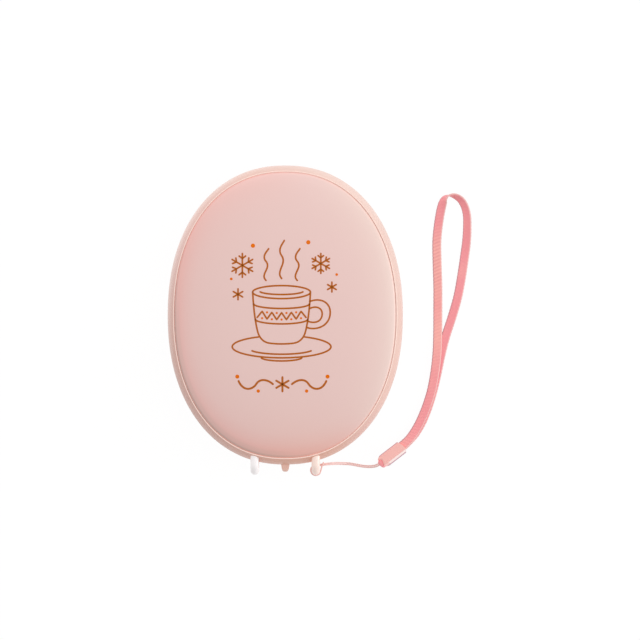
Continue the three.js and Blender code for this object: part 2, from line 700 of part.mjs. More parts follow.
// Cradle
function cradle() {
  const halfWide = cellX + cellRadius + clearance + cradleWall;
  const stripGap = clearance + stripThickness + clearance;
  const topEnd = cellUpperEnd + stripGap + cradleWall;
  const noseEnd = boardFront + cradleSetback;
  const bayEnd = noseEnd + cradleNose;
  const right = [
    [cradleFrontHalfWidth, noseEnd], [halfWide, bayEnd], [halfWide, topEnd - cradleTopTaper],
    [cradleTopHalfWidth, topEnd],
  ];
  const left = right.map(([x, y]) => [-x, y]).reverse();
  let body = plate([...right, ...left], cradleBottom, cradleTop);
  const rooted = cradleTop - cradleWall / 2;
  const sideLength = topEnd - cradleTopTaper - bayEnd - 2 * cradleWall;
  const sideMiddle = (topEnd - cradleTopTaper + bayEnd) / 2;
  function wallBlock(width, length, top, x, y) {
    return box(width, length, top - rooted, x, y, (top + rooted) / 2);
  }
  for (const side of [-1, 1]) {
    const x = side * (halfWide - cradleWall / 2);
    body = body.add(wallBlock(cradleWall, sideLength, cradleTop + cradleSideHeight, x, sideMiddle));
    const postY = boardFront + postBack;
    body = body.add(post(postRadius, rooted, boardBottom - clearance, side * postX, postY));
  }
  const endTop = cradleTop + cradleEndHeight;
  const endWidth = 2 * (halfWide - cradleWall / 2);
  const topWidth = 2 * (cradleTopHalfWidth - cradleWall);
  body = body.add(wallBlock(topWidth, cradleWall, endTop, 0, topEnd - cradleWall / 2));
  body = body.add(wallBlock(endWidth, cradleWall, endTop, 0, cellLowerEnd - stripGap - cradleWall / 2));
  const ribLength = cellLength - 2 * cradleWall;
  body = body.add(wallBlock(ribWidth, ribLength, cradleTop + ribHeight, 0, cellMiddle));
  const armBottom = bossTop + clearance;
  const armTop = armBottom + cradleWall;
  const screwHole = screwShankRadius + clearance;
  for (const { x, y } of bossPlaces) {
    const side = Math.sign(x);
    const inner = side * (halfWide - cradleWall / 2);
    const roundEnd = Array.from({ length: armEndSteps + 1 }, (_, i) => {
      const turn = Math.PI * (i / armEndSteps - 1 / 2);
      return [x + side * (armWidth / 2) * Math.cos(turn), y + (armWidth / 2) * Math.sin(turn)];
    });
    const arm = [[inner, y - armWidth / 2], ...roundEnd, [inner, y + armWidth / 2]];
    body = body.add(plate(arm, armBottom, armTop));
    body = body.subtract(post(screwHole, armBottom - overrun, armTop + overrun, x, y, smallRoundSteps));
  }
  for (const [x, y] of boardScrewPlaces) {
    body = body.add(post(standoffRadius, rooted, boardBottom - clearance, x, y));
    body = body.subtract(post(screwHole, boardTop - screwLength, boardTop, x, y, smallRoundSteps));
  }
  const leadHole = leadRadius + clearance;
  const below = cradleBottom - overrun;
  return body.subtract(post(leadHole, below, cradleTop + overrun, heaterLeadX, filmLeadY, smallRoundSteps));
}

// A pan-head screw with a cross slot, its head resting at a height
function screw(x, y, seat) {
  const head = [
    [0, -screwLength], [screwShankRadius, -screwLength], [screwShankRadius, 0], [screwHeadRadius, 0],
    [screwHeadRadius, screwHead / 2], [screwHeadRadius / 2, screwHead], [0, screwHead],
  ];
  let body = toSolid(turned(head, smallRoundSteps).rotateX(Math.PI / 2));
  const slotLength = 2 * screwHeadRadius * screwSlotShare;
  const slotZ = screwHead - screwSlotDepth / 2 + overrun / 2;
  const slotHeight = screwSlotDepth + overrun;
  body = body.subtract(box(slotLength, screwSlotWidth, slotHeight, 0, 0, slotZ));
  body = body.subtract(box(screwSlotWidth, slotLength, slotHeight, 0, 0, slotZ));
  return body.translate([x, y, seat]);
}

function smoothRoute(points) {
  const knots = points.map(([x, y, z]) => new THREE.Vector3(x, y, z));
  return new THREE.CatmullRomCurve3(knots, false, 'centripetal');
}

// A round tube along a smooth route
function tube(points, radius, steps, sides) {
  const route = smoothRoute(points);
  const section = new THREE.Shape(Array.from({ length: sides }, (_, i) => {
    const turn = (i * 2 * Math.PI) / sides;
    return new THREE.Vector2(radius * Math.cos(turn), radius * Math.sin(turn));
  }));
  return toSolid(new THREE.ExtrudeGeometry(section, { steps, bevelEnabled: false, extrudePath: route }));
}

const lead = (points) => tube(points, leadRadius, leadSteps, leadSides);

// Routes of the leads, from the places of what they join
const cellPadY = boardRear - cellPadInset;
const heaterPadY = boardRear - heaterPadInset;

function positiveLead() {
  const z = midZ + stripHeight / 2 + clearance + leadRadius;
  return lead([
    [0, cellUpperEnd, z], [0, cellMiddle, z], [0, cellLowerEnd, z],
    [cellPadX / 2, cellLowerEnd - leadSlack, z - leadRadius], [cellPadX, cellPadY, (z + onBoard) / 2],
    [cellPadX, cellPadY, onBoard],
  ]);
}

function negativeLead() {
  const y = cellLowerEnd - clearance - stripThickness - clearance;
  return lead([
    [-cellPadX, y, midZ], [-cellPadX, y - leadSlack / 2, midZ],
    [-cellPadX, cellPadY, midZ - leadRadius / 2], [-cellPadX, cellPadY, onBoard],
  ]);
}

function frontHeaterLead() {
  const top = frontFilmTop - filmThickness - clearance;
  return lead([
    [heaterLeadX, filmLeadY, top], [heaterLeadX, filmLeadY, top - leadSlack],
    [heaterPadX, heaterPadY, onBoard + leadSlack], [heaterPadX, heaterPadY, onBoard],
  ]);
}

function rearHeaterLead() {
  const bottom = rearFilmBottom + filmThickness + clearance;
  return post(leadRadius, bottom, boardBottom - clearance, heaterLeadX, filmLeadY, smallRoundSteps);
}

const beadZ = frontFilmTop - filmThickness - clearance - beadRadius;
const beadStart = filmLeadY - beadLength / 2;
const bead = () => crossBar(beadRadius, beadStart, beadStart + beadLength, beadX, beadZ, smallRoundSteps);

function sensorLead() {
  const start = beadStart - clearance;
  const bendY = start - 2 * leadRadius;
  return lead([
    [beadX, start, beadZ], [beadX, bendY, beadZ], [beadX, bendY - leadRadius, beadZ - leadSlack],
    [sensorPadX, heaterPadY, onBoard + leadSlack], [sensorPadX, heaterPadY, onBoard],
  ]);
}

// Lanyard
const sleeveZ = floorGap + sleeveHeight / 2;

// Rounded rectangular rows across the sleeve's axis, drawn in by an inset, at a distance along it
function sleeveRow(along, inset) {
  const forward = new THREE.Vector3(Math.cos(sleeveTurn), Math.sin(sleeveTurn), 0);
  const across = new THREE.Vector3(-forward.y, forward.x, 0);
  const middle = new THREE.Vector3(sleeveStart[0], sleeveStart[1], sleeveZ).addScaledVector(forward, along);
  const corner = sleeveCorner * (1 - inset / sleeveHeight);
  const row = [];
  for (let quarter = 0; quarter < 4; quarter += 1) {
    for (let i = 0; i < 4; i += 1) {
      const turn = (Math.PI / 2) * (quarter + i / 3);
      const sideX = quarter === 0 || quarter === 3 ? 1 : -1;
      const sideZ = quarter < 2 ? 1 : -1;
      const wide = sideX * (sleeveWidth / 2 - inset - corner) + corner * Math.cos(turn);
      const high = sideZ * (sleeveHeight / 2 - inset - corner) + corner * Math.sin(turn);
      const point = middle.clone().addScaledVector(across, wide);
      point.z += high;
      row.push(point);
    }
  }
  return row;
}

const sleeve = () => cappedSkin([
  sleeveRow(0, sleeveEdge), sleeveRow(sleeveEdge, 0), sleeveRow(sleeveLength - sleeveEdge, 0),
  sleeveRow(sleeveLength, sleeveEdge),
]);

function plug() {
  const tipInset = (sleeveHeight / 2) * plugTipShare;
  return cappedSkin([
    sleeveRow(-clearance, sleeveEdge * 2), sleeveRow(-clearance - plugLength / 2, sleeveEdge * 2),
    sleeveRow(-clearance - plugLength, tipInset),
  ]);
}

// The strap: a flat band swept along its route, its width turned by its tilt
function strap() {
  const route = smoothRoute(strapRoute);
  const tiltKnots = strapRoute.map(([, , , tilt], i) => new THREE.Vector3(i, tilt, 0));
  const tilts = new THREE.CatmullRomCurve3(tiltKnots);
  const wide = strapWidth / 2;
  const thick = strapThickness / 2;
  const section = [
    [wide, thick / 2], [wide - thick / 2, thick], [thick / 2 - wide, thick], [-wide, thick / 2],
    [-wide, -thick / 2], [thick / 2 - wide, -thick], [wide - thick / 2, -thick], [wide, -thick / 2],
  ];
  const up = new THREE.Vector3(0, 0, 1);
  const rows = Array.from({ length: strapSteps + 1 }, (_, i) => {
    const share = route.getUtoTmapping(i / strapSteps);
    const middle = route.getPoint(share);
    const forward = route.getTangent(share);
    const flat = new THREE.Vector3().crossVectors(forward, up).normalize();
    const lean = THREE.MathUtils.degToRad(tilts.getPoint(share).y);
    const across = flat.multiplyScalar(Math.cos(lean)).addScaledVector(up, Math.sin(lean));
    across.addScaledVector(forward, -across.dot(forward)).normalize();
    const face = new THREE.Vector3().crossVectors(across, forward);
    return section.map(([w, t]) => middle.clone().addScaledVector(across, w).addScaledVector(face, t));
  });
  return cappedSkin(rows);
}

// Assembly
addPiece('rim_frame', rimFrame(), rimPink);
addPiece('front_cover', frontCover(), facePink);
addPiece('rear_cover', rearCover(), facePink);
addPiece('foot_left', foot(-footSpacing), milkWhite);
addPiece('foot_right', foot(footSpacing), milkWhite);
addPiece('power_button', powerButton(), buttonPink);
addPiece('switch_plunger', plunger(), blackPlastic);
addPiece('switch_body', switchBody(), steel);
addPiece('indicator_lens_left', lens(-1), clearLens);
addPiece('indicator_lens_right', lens(1), clearLens);
lensPlaces().forEach((x, i) => addPiece(`indicator_light_${i + 1}`, light(x), lightYellow));
addPiece('charge_port_shell', portShell(), steel);
addPiece('charge_port_tongue', portTongue(), blackPlastic);
addPiece('main_board', mainBoard(), boardGreen);
addPiece('control_chip', boardBlock(controlChip), blackPlastic);
addPiece('power_chip', boardBlock(powerChip), blackPlastic);
addPiece('inductor', inductorBody(), ferriteGrey);
addPiece('capacitor', post(
  capacitor.radius,
  onBoard,
  onBoard + capacitor.height,
  capacitor.x,
  boardFront + capacitor.back,
), canSilver);
addPiece('cell_left', cell(-cellX), cellBlue);
addPiece('cell_right', cell(cellX), cellBlue);
addPiece('nickel_strip_positive', strip(cellUpperEnd + clearance + stripThickness / 2), nickel);
addPiece('nickel_strip_negative', strip(cellLowerEnd - clearance - stripThickness / 2), nickel);
addPiece('cell_cradle', cradle(), cradleGrey);
addPiece('heat_plate_rear', ovalPlate(
  plateHalfWidth,
  plateHalfLength,
  rearPlateBottom,
  rearPlateBottom + plateThickness,
), aluminium);
addPiece('heater_film_rear', ovalPlate(
  filmHalfWidth,
  filmHalfLength,
  rearFilmBottom,
  rearFilmBottom + filmThickness,
), filmAmber);
addPiece('insulation_pad_rear', ovalPlate(
  padHalfWidth,
  padHalfLength,
  rearPadBottom,
  rearPadTop,
), padWhite);
addPiece('heat_plate_front', ovalPlate(
  plateHalfWidth,
  plateHalfLength,
  frontPlateTop - plateThickness,
  frontPlateTop,
), aluminium);
addPiece('heater_film_front', ovalPlate(
  filmHalfWidth,
  filmHalfLength,
  frontFilmTop - filmThickness,
  frontFilmTop,
), filmAmber);
addPiece('insulation_pad_front', ovalPlate(
  padHalfWidth,
  padHalfLength,
  frontPadBottom,
  frontPadTop,
), padWhite);
addPiece('thermistor', bead(), blackPlastic);
addPiece('lead_positive', positiveLead(), redLead);
addPiece('lead_negative', negativeLead(), blackLead);
addPiece('lead_heater_front', frontHeaterLead(), whiteLead);
addPiece('lead_heater_rear', rearHeaterLead(), whiteLead);
addPiece('lead_thermistor', sensorLead(), whiteLead);
bossPlaces.forEach(({ x, y }, i) => {
  addPiece(`cradle_screw_${i + 1}`, screw(x, y, bossTop + clearance + cradleWall + clearance), steel);
});
boardScrewPlaces.forEach(([x, y], i) => addPiece(`board_screw_${i + 1}`, screw(x, y, onBoard), steel));
addPiece('lanyard_cord', tube(cordRoute, cordRadius, cordSteps, cordSides), cordPink);
addPiece('lanyard_sleeve', sleeve(), sleevePink);
addPiece('lanyard_plug', plug(), plugCoral);
addPiece('lanyard_strap', strap(), strapCoral);

export default part;
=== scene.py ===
"""Looks of a rechargeable hand warmer with a wrist lanyard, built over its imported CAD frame.

Lengths are millimetres in the frame's own axes, and Skin.make turns them into metres. +Z is up through the
front cover, -Y is the end with the power button and the feet, and the lanyard lies at +X.
"""

from __future__ import annotations

import json
import logging
import math
from collections.abc import Callable, Iterable, Sequence
from dataclasses import dataclass
from enum import Enum

import bmesh
import bpy
import numpy as np
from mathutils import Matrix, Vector


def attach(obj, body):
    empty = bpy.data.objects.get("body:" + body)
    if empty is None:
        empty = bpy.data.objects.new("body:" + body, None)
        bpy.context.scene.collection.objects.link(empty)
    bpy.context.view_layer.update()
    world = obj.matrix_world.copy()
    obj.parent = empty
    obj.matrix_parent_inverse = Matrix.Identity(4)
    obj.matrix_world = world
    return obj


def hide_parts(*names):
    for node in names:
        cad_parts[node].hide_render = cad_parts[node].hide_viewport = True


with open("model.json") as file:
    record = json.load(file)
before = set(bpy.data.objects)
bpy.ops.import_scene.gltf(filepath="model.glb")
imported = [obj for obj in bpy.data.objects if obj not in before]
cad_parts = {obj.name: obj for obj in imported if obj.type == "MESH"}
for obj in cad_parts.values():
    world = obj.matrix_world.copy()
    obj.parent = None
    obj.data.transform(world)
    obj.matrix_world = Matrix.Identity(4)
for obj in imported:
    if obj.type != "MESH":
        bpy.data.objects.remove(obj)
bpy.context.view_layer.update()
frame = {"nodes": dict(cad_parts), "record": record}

LOG = logging.getLogger("hand_warmer")
MM = 0.001
MID_Z = 18.0
PORT_Z = 12.1
CREASE = 38.0

Piece = bpy.types.Object
Node = bpy.types.Node
Socket = bpy.types.NodeSocket
Tree = bpy.types.NodeTree
Value = float | Sequence[float] | Socket
Points = np.ndarray
Table = tuple[tuple[float, ...], tuple[float, ...]]
Rows = Sequence[tuple[float, ...]]
Size = tuple[float, float, float]


class Tone(Enum):
    """Colours of the pieces under plain white light."""

    COVER = "#e7c5bf"
    # The next five tones are painted light and shade: pinker for the shaded side, painted groove shade, paler
    # toward the lamps, warm painted shade at the button's end, and a painted edge highlight.
    COVER_SHADED_TINT = "#eab2aa"
    COVER_PAINTED_SHADE = "#b2a096"
    COVER_LIT_TINT = "#e6d5c8"
    COVER_BOTTOM_SHADE = "#f2b89e"
    COVER_EDGE_HIGHLIGHT = "#ffd9cf"
    RIM = "#e4bdb0"
    # The next five tones are painted light and shade: pinker for the shaded side, painted shade on the lower
    # left, paler toward the lamps, warm painted shade at the button's end, and a painted edge highlight.
    RIM_SHADED_TINT = "#deb8b0"
    RIM_PAINTED_SHADE = "#d5a99c"
    RIM_LIT_TINT = "#ead0c5"
    RIM_BOTTOM_SHADE = "#dea690"
    RIM_EDGE_HIGHLIGHT = "#ffe1d6"
    FOOT = "#fff9f9"
    # Painted pink light, reflected from the cord, for the right foot.
    FOOT_PINK_BOUNCE = "#ffe6db"
    BUTTON = "#efc7b8"
    LENS = "#f6f1ea"
    INK = "#b25e0c"
    INK_FILL = "#e26f08"
    CORD = "#f1cac4"
    CORD_SHADE = "#e2b0aa"
    STRAP = "#f6b0a8"
    STRAP_PINK = "#f4989e"
    STRAP_SHADE = "#d98289"
    # Painted shade along one selvedge and a painted highlight along the other.
    SELVEDGE_SHADE = "#bf8c96"
    SELVEDGE_HIGHLIGHT = "#eec4be"
    SLEEVE = "#f7bbb3"
    # Painted highlight on the sleeve's lip and painted shade along its underside.
    SLEEVE_HIGHLIGHT = "#ffe4de"
    SLEEVE_SHADE_LINE = "#c496a3"
    PLUG = "#ffa1a6"
    STEEL = "#b9babd"
    NICKEL = "#cbc7bb"
    ALUMINIUM = "#c4c7ca"
    CONTACT = "#d8b25a"
    BLACK = "#252528"
    FERRITE = "#4b4b50"
    BOARD = "#1d5a3b"
    BOARD_TRACE = "#2c7850"
    CELL = "#3b72ac"
    CRADLE = "#d9d9d6"
    FILM = "#bd7526"
    FILM_TRACE = "#8c4f1c"
    FELT = "#e7e5df"
    LIGHT = "#f3e8a8"
    RED_WIRE = "#b5281f"
    BLACK_WIRE = "#1e1e20"
    WHITE_WIRE = "#edebe5"

    def linear(self) -> tuple[float, float, float, float]:
        """Give the colour in Blender's linear values.

        Returns:
            Its red, green, blue and alpha.
        """
        channels = [int(self.value[i:i + 2], 16) / 255 for i in (1, 3, 5)]
        red, green, blue = (c / 12.92 if c <= 0.04045 else ((c + 0.055) / 1.055) ** 2.4 for c in channels)
        return (red, green, blue, 1.0)


class Graph:
    """Short calls for adding and joining the nodes of one tree."""

    def __init__(self, tree: Tree) -> None:
        """Keep the tree that the nodes go into."""
        self.tree = tree

    def feed(self, socket: Socket, value: Value) -> None:
        """Link a socket to another one, or set its plain value.

        Args:
            socket: the socket that takes the value.
            value: another socket or a plain value.
        """
        if isinstance(value, Socket):
            self.tree.links.new(value, socket)
        else:
            socket.default_value = value

    def add(self, kind: str, inputs: dict[str | int, Value] | None = None, **settings: object) -> Node:
        """Add a shader node.

        Args:
            kind: the node's type, without its ShaderNode prefix.
            inputs: values or sockets for its inputs, by name or number.
            settings: the node's own properties.

        Returns:
            The new node.
        """
        node = self.tree.nodes.new("ShaderNode" + kind)
        for name, setting in settings.items():
            setattr(node, name, setting)
        for key, value in (inputs or {}).items():
            self.feed(node.inputs[key], value)
        return node

    def math(self, operation: str, *values: Value) -> Socket:
        """Work out one Math node over the values and give its result."""
        return self.add("Math", dict(enumerate(values)), operation=operation).outputs[0]

    def mark(self, name: str) -> Socket:
        """Read a value that the mesh keeps for each point."""
        return self.add("Attribute", attribute_name=name).outputs["Fac"]

    def swing(self, value: Value, amount: Value) -> Socket:
        """Give how far a value from 0 to 1 lies off its middle, times an amount."""
        return self.math("MULTIPLY", self.math("SUBTRACT", value, 0.5), amount)

    def blend(self, share: Value, low: Value, high: Value) -> Socket:
        """Mix two colours by a share from 0 to 1."""
        return self.add("Mix", {0: share, 6: low, 7: high}, data_type="RGBA").outputs[2]

    def noise(self, scale: Value, detail: float = 2.0, vector: Value | None = None) -> Socket:
        """Give a noise value from 0 to 1 over the piece's own coordinates, or over a given vector."""
        where = self.add("TexCoord").outputs["Object"] if vector is None else vector
        return self.add("TexNoise", {"Vector": where, "Scale": scale, "Detail": detail}).outputs["Fac"]


class Effect(Enum):
    """Shader node groups that several finishes share. Each is built once."""

    DRIFT = "tone drift"
    GRAIN = "fine grain"
    BRUSHED = "brushed streaks"
    # Painted highlight along marked edges, which are also smoother.
    EDGE = "polished edge"
    # Painted light and shade tints over the shells.
    PAINTED_LIGHT = "cream to pink"
    YARN = "yarn rows"

    def tree(self) -> Tree:
        """Give the group, building it on its first use."""
        return bpy.data.node_groups.get(self.value) or EFFECT_BUILDERS[self]()

    def use(self, graph: Graph, **inputs: Value) -> Node:
        """Place the group in a material.

        Args:
            graph: the material's nodes.
            inputs: values for the group's inputs, by name.

        Returns:
            The group node.
        """
        node = graph.tree.nodes.new("ShaderNodeGroup")
        node.node_tree = self.tree()
        for name, value in inputs.items():
            graph.feed(node.inputs[name], value)
        return node


FLOAT, COLOR = "NodeSocketFloat", "NodeSocketColor"
PATCH_SHARE = 0.06
STREAK_STRETCH = (1.0, 30.0, 30.0)
POLISH = 0.5
FIBRE_SCALE = 2600.0
TEXTURE_TAKES = dict.fromkeys(("Scale", "Roughness", "Spread"), FLOAT)
TEXTURE_GIVES = dict.fromkeys(("Height", "Roughness"), FLOAT)


def new_effect(effect: Effect, takes: dict[str, str], gives: dict[str, str]) -> tuple[Graph, Node, Node]:
    """Start a node group with its sockets.

    Args:
        effect: the effect that the group is for.
        takes: each input's kind, by its name.
        gives: each output's kind, by its name.

    Returns:
        The group's graph, its input node and its output node.
    """
    tree = bpy.data.node_groups.new(effect.value, "ShaderNodeTree")
    for sockets, side in ((takes, "INPUT"), (gives, "OUTPUT")):
        for title, kind in sockets.items():
            tree.interface.new_socket(title, in_out=side, socket_type=kind)
    return Graph(tree), tree.nodes.new("NodeGroupInput"), tree.nodes.new("NodeGroupOutput")


def build_drift() -> Tree:
    """Build slow lightening and darkening of a colour over the piece.

    Returns:
        The group.
    """
    graph, given, out = new_effect(
        Effect.DRIFT, {"Color": COLOR, "Scale": FLOAT, "Amount": FLOAT}, {"Color": COLOR}
    )
    shift = graph.swing(graph.noise(given.outputs["Scale"], 3.0), given.outputs["Amount"])
    inputs = {
        "Color": given.outputs["Color"],
        "Value": graph.math("ADD", 1.0, shift),
        "Saturation": graph.math("SUBTRACT", 1.0, shift),
    }
    graph.feed(out.inputs["Color"], graph.add("HueSaturation", inputs).outputs["Color"])
    return graph.tree


def build_grain() -> Tree:
    """Build the fine texture of a moulded surface, as height and as roughness.

    Returns:
        The group.
    """
    graph, given, out = new_effect(Effect.GRAIN, TEXTURE_TAKES, TEXTURE_GIVES)
    patches = graph.noise(graph.math("MULTIPLY", given.outputs["Scale"], PATCH_SHARE), 2.0)
    uneven = graph.swing(patches, given.outputs["Spread"])
    graph.feed(out.inputs["Height"], graph.noise(given.outputs["Scale"], 4.0))
    graph.feed(out.inputs["Roughness"], graph.math("ADD", given.outputs["Roughness"], uneven))
    return graph.tree


def build_brushed() -> Tree:
    """Build the drawn streaks of sheet metal.

    Returns:
        The group.
    """
    graph, given, out = new_effect(Effect.BRUSHED, TEXTURE_TAKES, TEXTURE_GIVES)
    where = graph.add("TexCoord").outputs["Object"]
    drawn = graph.add("Mapping", {"Vector": where, "Scale": STREAK_STRETCH}).outputs["Vector"]
    streak = graph.noise(given.outputs["Scale"], 3.0, drawn)
    uneven = graph.swing(streak, given.outputs["Spread"])
    graph.feed(out.inputs["Height"], streak)
    graph.feed(out.inputs["Roughness"], graph.math("ADD", given.outputs["Roughness"], uneven))
    return graph.tree


def build_edge_highlight() -> Tree:
    """Build a painted highlight, also smoother, along an edge that the mesh marks with its Edge value.

    Returns:
        The group.
    """
    graph, given, out = new_effect(
        Effect.EDGE,
        {"Color": COLOR, "Edge Color": COLOR, "Amount": FLOAT, "Roughness": FLOAT},
        {"Color": COLOR, "Roughness": FLOAT},
    )
    share = graph.math("MULTIPLY", graph.mark("Edge"), given.outputs["Amount"])
    graph.feed(out.inputs["Color"], graph.blend(share, given.outputs["Color"], given.outputs["Edge Color"]))
    smoother = graph.math("SUBTRACT", 1.0, graph.math("MULTIPLY", share, POLISH))
    graph.feed(out.inputs["Roughness"], graph.math("MULTIPLY", given.outputs["Roughness"], smoother))
    return graph.tree


def build_painted_light() -> Tree:
    """Build the painted light and shade that the mesh marks for each point.

    The painted light goes from -1, a paler tint toward the lamps, over 0, the plain colour, to 1, a pinker
    tint in shade. The painted shade in the groove and the warm painted shade at the button's end go from 0 to
    1.

    Returns:
        The group.
    """
    graph, given, out = new_effect(
        Effect.PAINTED_LIGHT, dict.fromkeys(("Color", "Cream", "Pink", "PaintedShade", "BottomShade"), COLOR), {"Color": COLOR}
    )
    light_tint = graph.mark("PaintedLight")
    color = graph.blend(graph.math("MULTIPLY", light_tint, -1.0), given.outputs["Color"], given.outputs["Cream"])
    for share, title in ((light_tint, "Pink"), (graph.mark("PaintedShade"), "PaintedShade"), (graph.mark("BottomShade"), "BottomShade")):
        color = graph.blend(share, color, given.outputs[title])
    graph.feed(out.inputs["Color"], color)
    return graph.tree


def build_yarn() -> Tree:
    """Build rows of yarn that follow the mesh's Along and Across values, in millimetres.

    Returns:
        The group.
    """
    graph, given, out = new_effect(
        Effect.YARN, {"Pitch": FLOAT, "Lean": FLOAT, "Fuzz": FLOAT}, {"Shade": FLOAT, "Height": FLOAT}
    )
    sideways = graph.math("MULTIPLY", graph.mark("Across"), given.outputs["Lean"])
    turns = graph.math("DIVIDE", graph.math("ADD", graph.mark("Along"), sideways), given.outputs["Pitch"])
    wave = graph.math("SINE", graph.math("MULTIPLY", turns, math.tau))
    rows = graph.math("ADD", graph.math("MULTIPLY", wave, 0.5), 0.5)
    fuzz = graph.math("MULTIPLY", graph.noise(FIBRE_SCALE, 3.0), given.outputs["Fuzz"])
    graph.feed(out.inputs["Shade"], rows)
    graph.feed(out.inputs["Height"], graph.math("ADD", rows, fuzz))
    return graph.tree


EFFECT_BUILDERS: dict[Effect, Callable[[], Tree]] = {
    Effect.DRIFT: build_drift,
    Effect.GRAIN: build_grain,
    Effect.BRUSHED: build_brushed,
    Effect.EDGE: build_edge_highlight,
    Effect.PAINTED_LIGHT: build_painted_light,
    Effect.YARN: build_yarn,
}


@dataclass(frozen=True)
class Finish:
    """A surface finish. Subclasses add what their real surface shows."""

    title: str
    tone: Tone
    roughness: float = 0.5
    grain: float = 4000.0
    spread: float = 0.08
    depth: float = 0.01
    drift: float = 0.03
    drift_scale: float = 45.0
    coat: float = 0.0
    coat_roughness: float = 0.12
    metallic: float = 0.0
    shine: float = 0.5
    sheen: float = 0.0

    def material(self) -> bpy.types.Material:
        """Give the finish's material, building it on its first use.

        Returns:
            The material.
        """
        found = bpy.data.materials.get(self.title)
        if found:
            return found
        made = bpy.data.materials.new(self.title)
        made.use_nodes = True
        shader = made.node_tree.nodes["Principled BSDF"]
        for socket, value in (
            ("Metallic", self.metallic), ("Specular IOR Level", self.shine), ("Coat Weight", self.coat),
            ("Coat Roughness", self.coat_roughness), ("Sheen Weight", self.sheen),
        ):
            shader.inputs[socket].default_value = value
        self.dress(Graph(made.node_tree), shader)
        return made

    def dress(self, graph: Graph, shader: Node) -> None:
        """Build the nodes of a moulded surface: drifting colour, fine grain and uneven gloss.

        Args:
            graph: the material's nodes.
            shader: its shader.
        """
        grain = self.grained(graph)
        color = self.drifted(graph, self.tone.linear())
        self.lay(graph, shader, color, grain.outputs["Roughness"], grain.outputs["Height"])

    def grained(self, graph: Graph) -> Node:
        """Place the fine grain at this finish's scale."""
        return Effect.GRAIN.use(graph, Scale=self.grain, Roughness=self.roughness, Spread=self.spread)

    def drifted(self, graph: Graph, color: Value) -> Socket:
        """Give a colour its slow drift over the piece."""
        drift = Effect.DRIFT.use(graph, Color=color, Scale=self.drift_scale, Amount=self.drift)
        return drift.outputs["Color"]

    def lay(self, graph: Graph, shader: Node, color: Value, roughness: Socket, height: Socket) -> None:
        """Feed the shader.

        Args:
            graph: the material's nodes.
            shader: its shader.
            color: the colour.
            roughness: the roughness.
            height: the surface's height, from 0 to 1.
        """
        graph.feed(shader.inputs["Base Color"], color)
        graph.feed(shader.inputs["Roughness"], roughness)
        bump = graph.add("Bump", {"Height": height, "Distance": self.depth * MM, "Strength": 1.0})
        graph.feed(shader.inputs["Normal"], bump.outputs["Normal"])


@dataclass(frozen=True)
class EdgedPlastic(Finish):
    """Moulded plastic with painted light and shade tints where marked, and painted highlights on marked
    edges, which are also smoother.
    """

    lit_tint_tone: Tone = Tone.RIM_LIT_TINT
    shaded_tint_tone: Tone = Tone.RIM_SHADED_TINT
    painted_shade_tone: Tone = Tone.RIM_PAINTED_SHADE
    bottom_shade_tone: Tone = Tone.RIM_BOTTOM_SHADE
    edge_highlight_tone: Tone = Tone.RIM_EDGE_HIGHLIGHT
    edge_highlight_amount: float = 1.0

    def dress(self, graph: Graph, shader: Node) -> None:
        """Build moulded plastic with its painted light and shade tints and its painted edge highlights, which
        are also smoother.

        Args:
            graph: the material's nodes.
            shader: its shader.
        """
        grain = self.grained(graph)
        tones = {
            "Color": self.tone, "Cream": self.lit_tint_tone, "Pink": self.shaded_tint_tone, "PaintedShade": self.painted_shade_tone,
            "BottomShade": self.bottom_shade_tone,
        }
        light_tinted = Effect.PAINTED_LIGHT.use(graph, **{name: tone.linear() for name, tone in tones.items()})
        inputs = {
            "Color": self.drifted(graph, light_tinted.outputs["Color"]),
            "Edge Color": self.edge_highlight_tone.linear(),
            "Amount": self.edge_highlight_amount,
            "Roughness": grain.outputs["Roughness"],
        }
        edged = Effect.EDGE.use(graph, **inputs)
        self.lay(graph, shader, edged.outputs["Color"], edged.outputs["Roughness"], grain.outputs["Height"])


@dataclass(frozen=True)
class Metal(Finish):
    """Sheet metal with drawn streaks."""

    metallic: float = 1.0
    spread: float = 0.25
    streaks: float = 160.0

    def dress(self, graph: Graph, shader: Node) -> None:
        """Build the streaked metal.

        Args:
            graph: the material's nodes.
            shader: its shader.
        """
        drawn = Effect.BRUSHED.use(graph, Scale=self.streaks, Roughness=self.roughness, Spread=self.spread)
        color = self.drifted(graph, self.tone.linear())
        self.lay(graph, shader, color, drawn.outputs["Roughness"], drawn.outputs["Height"])


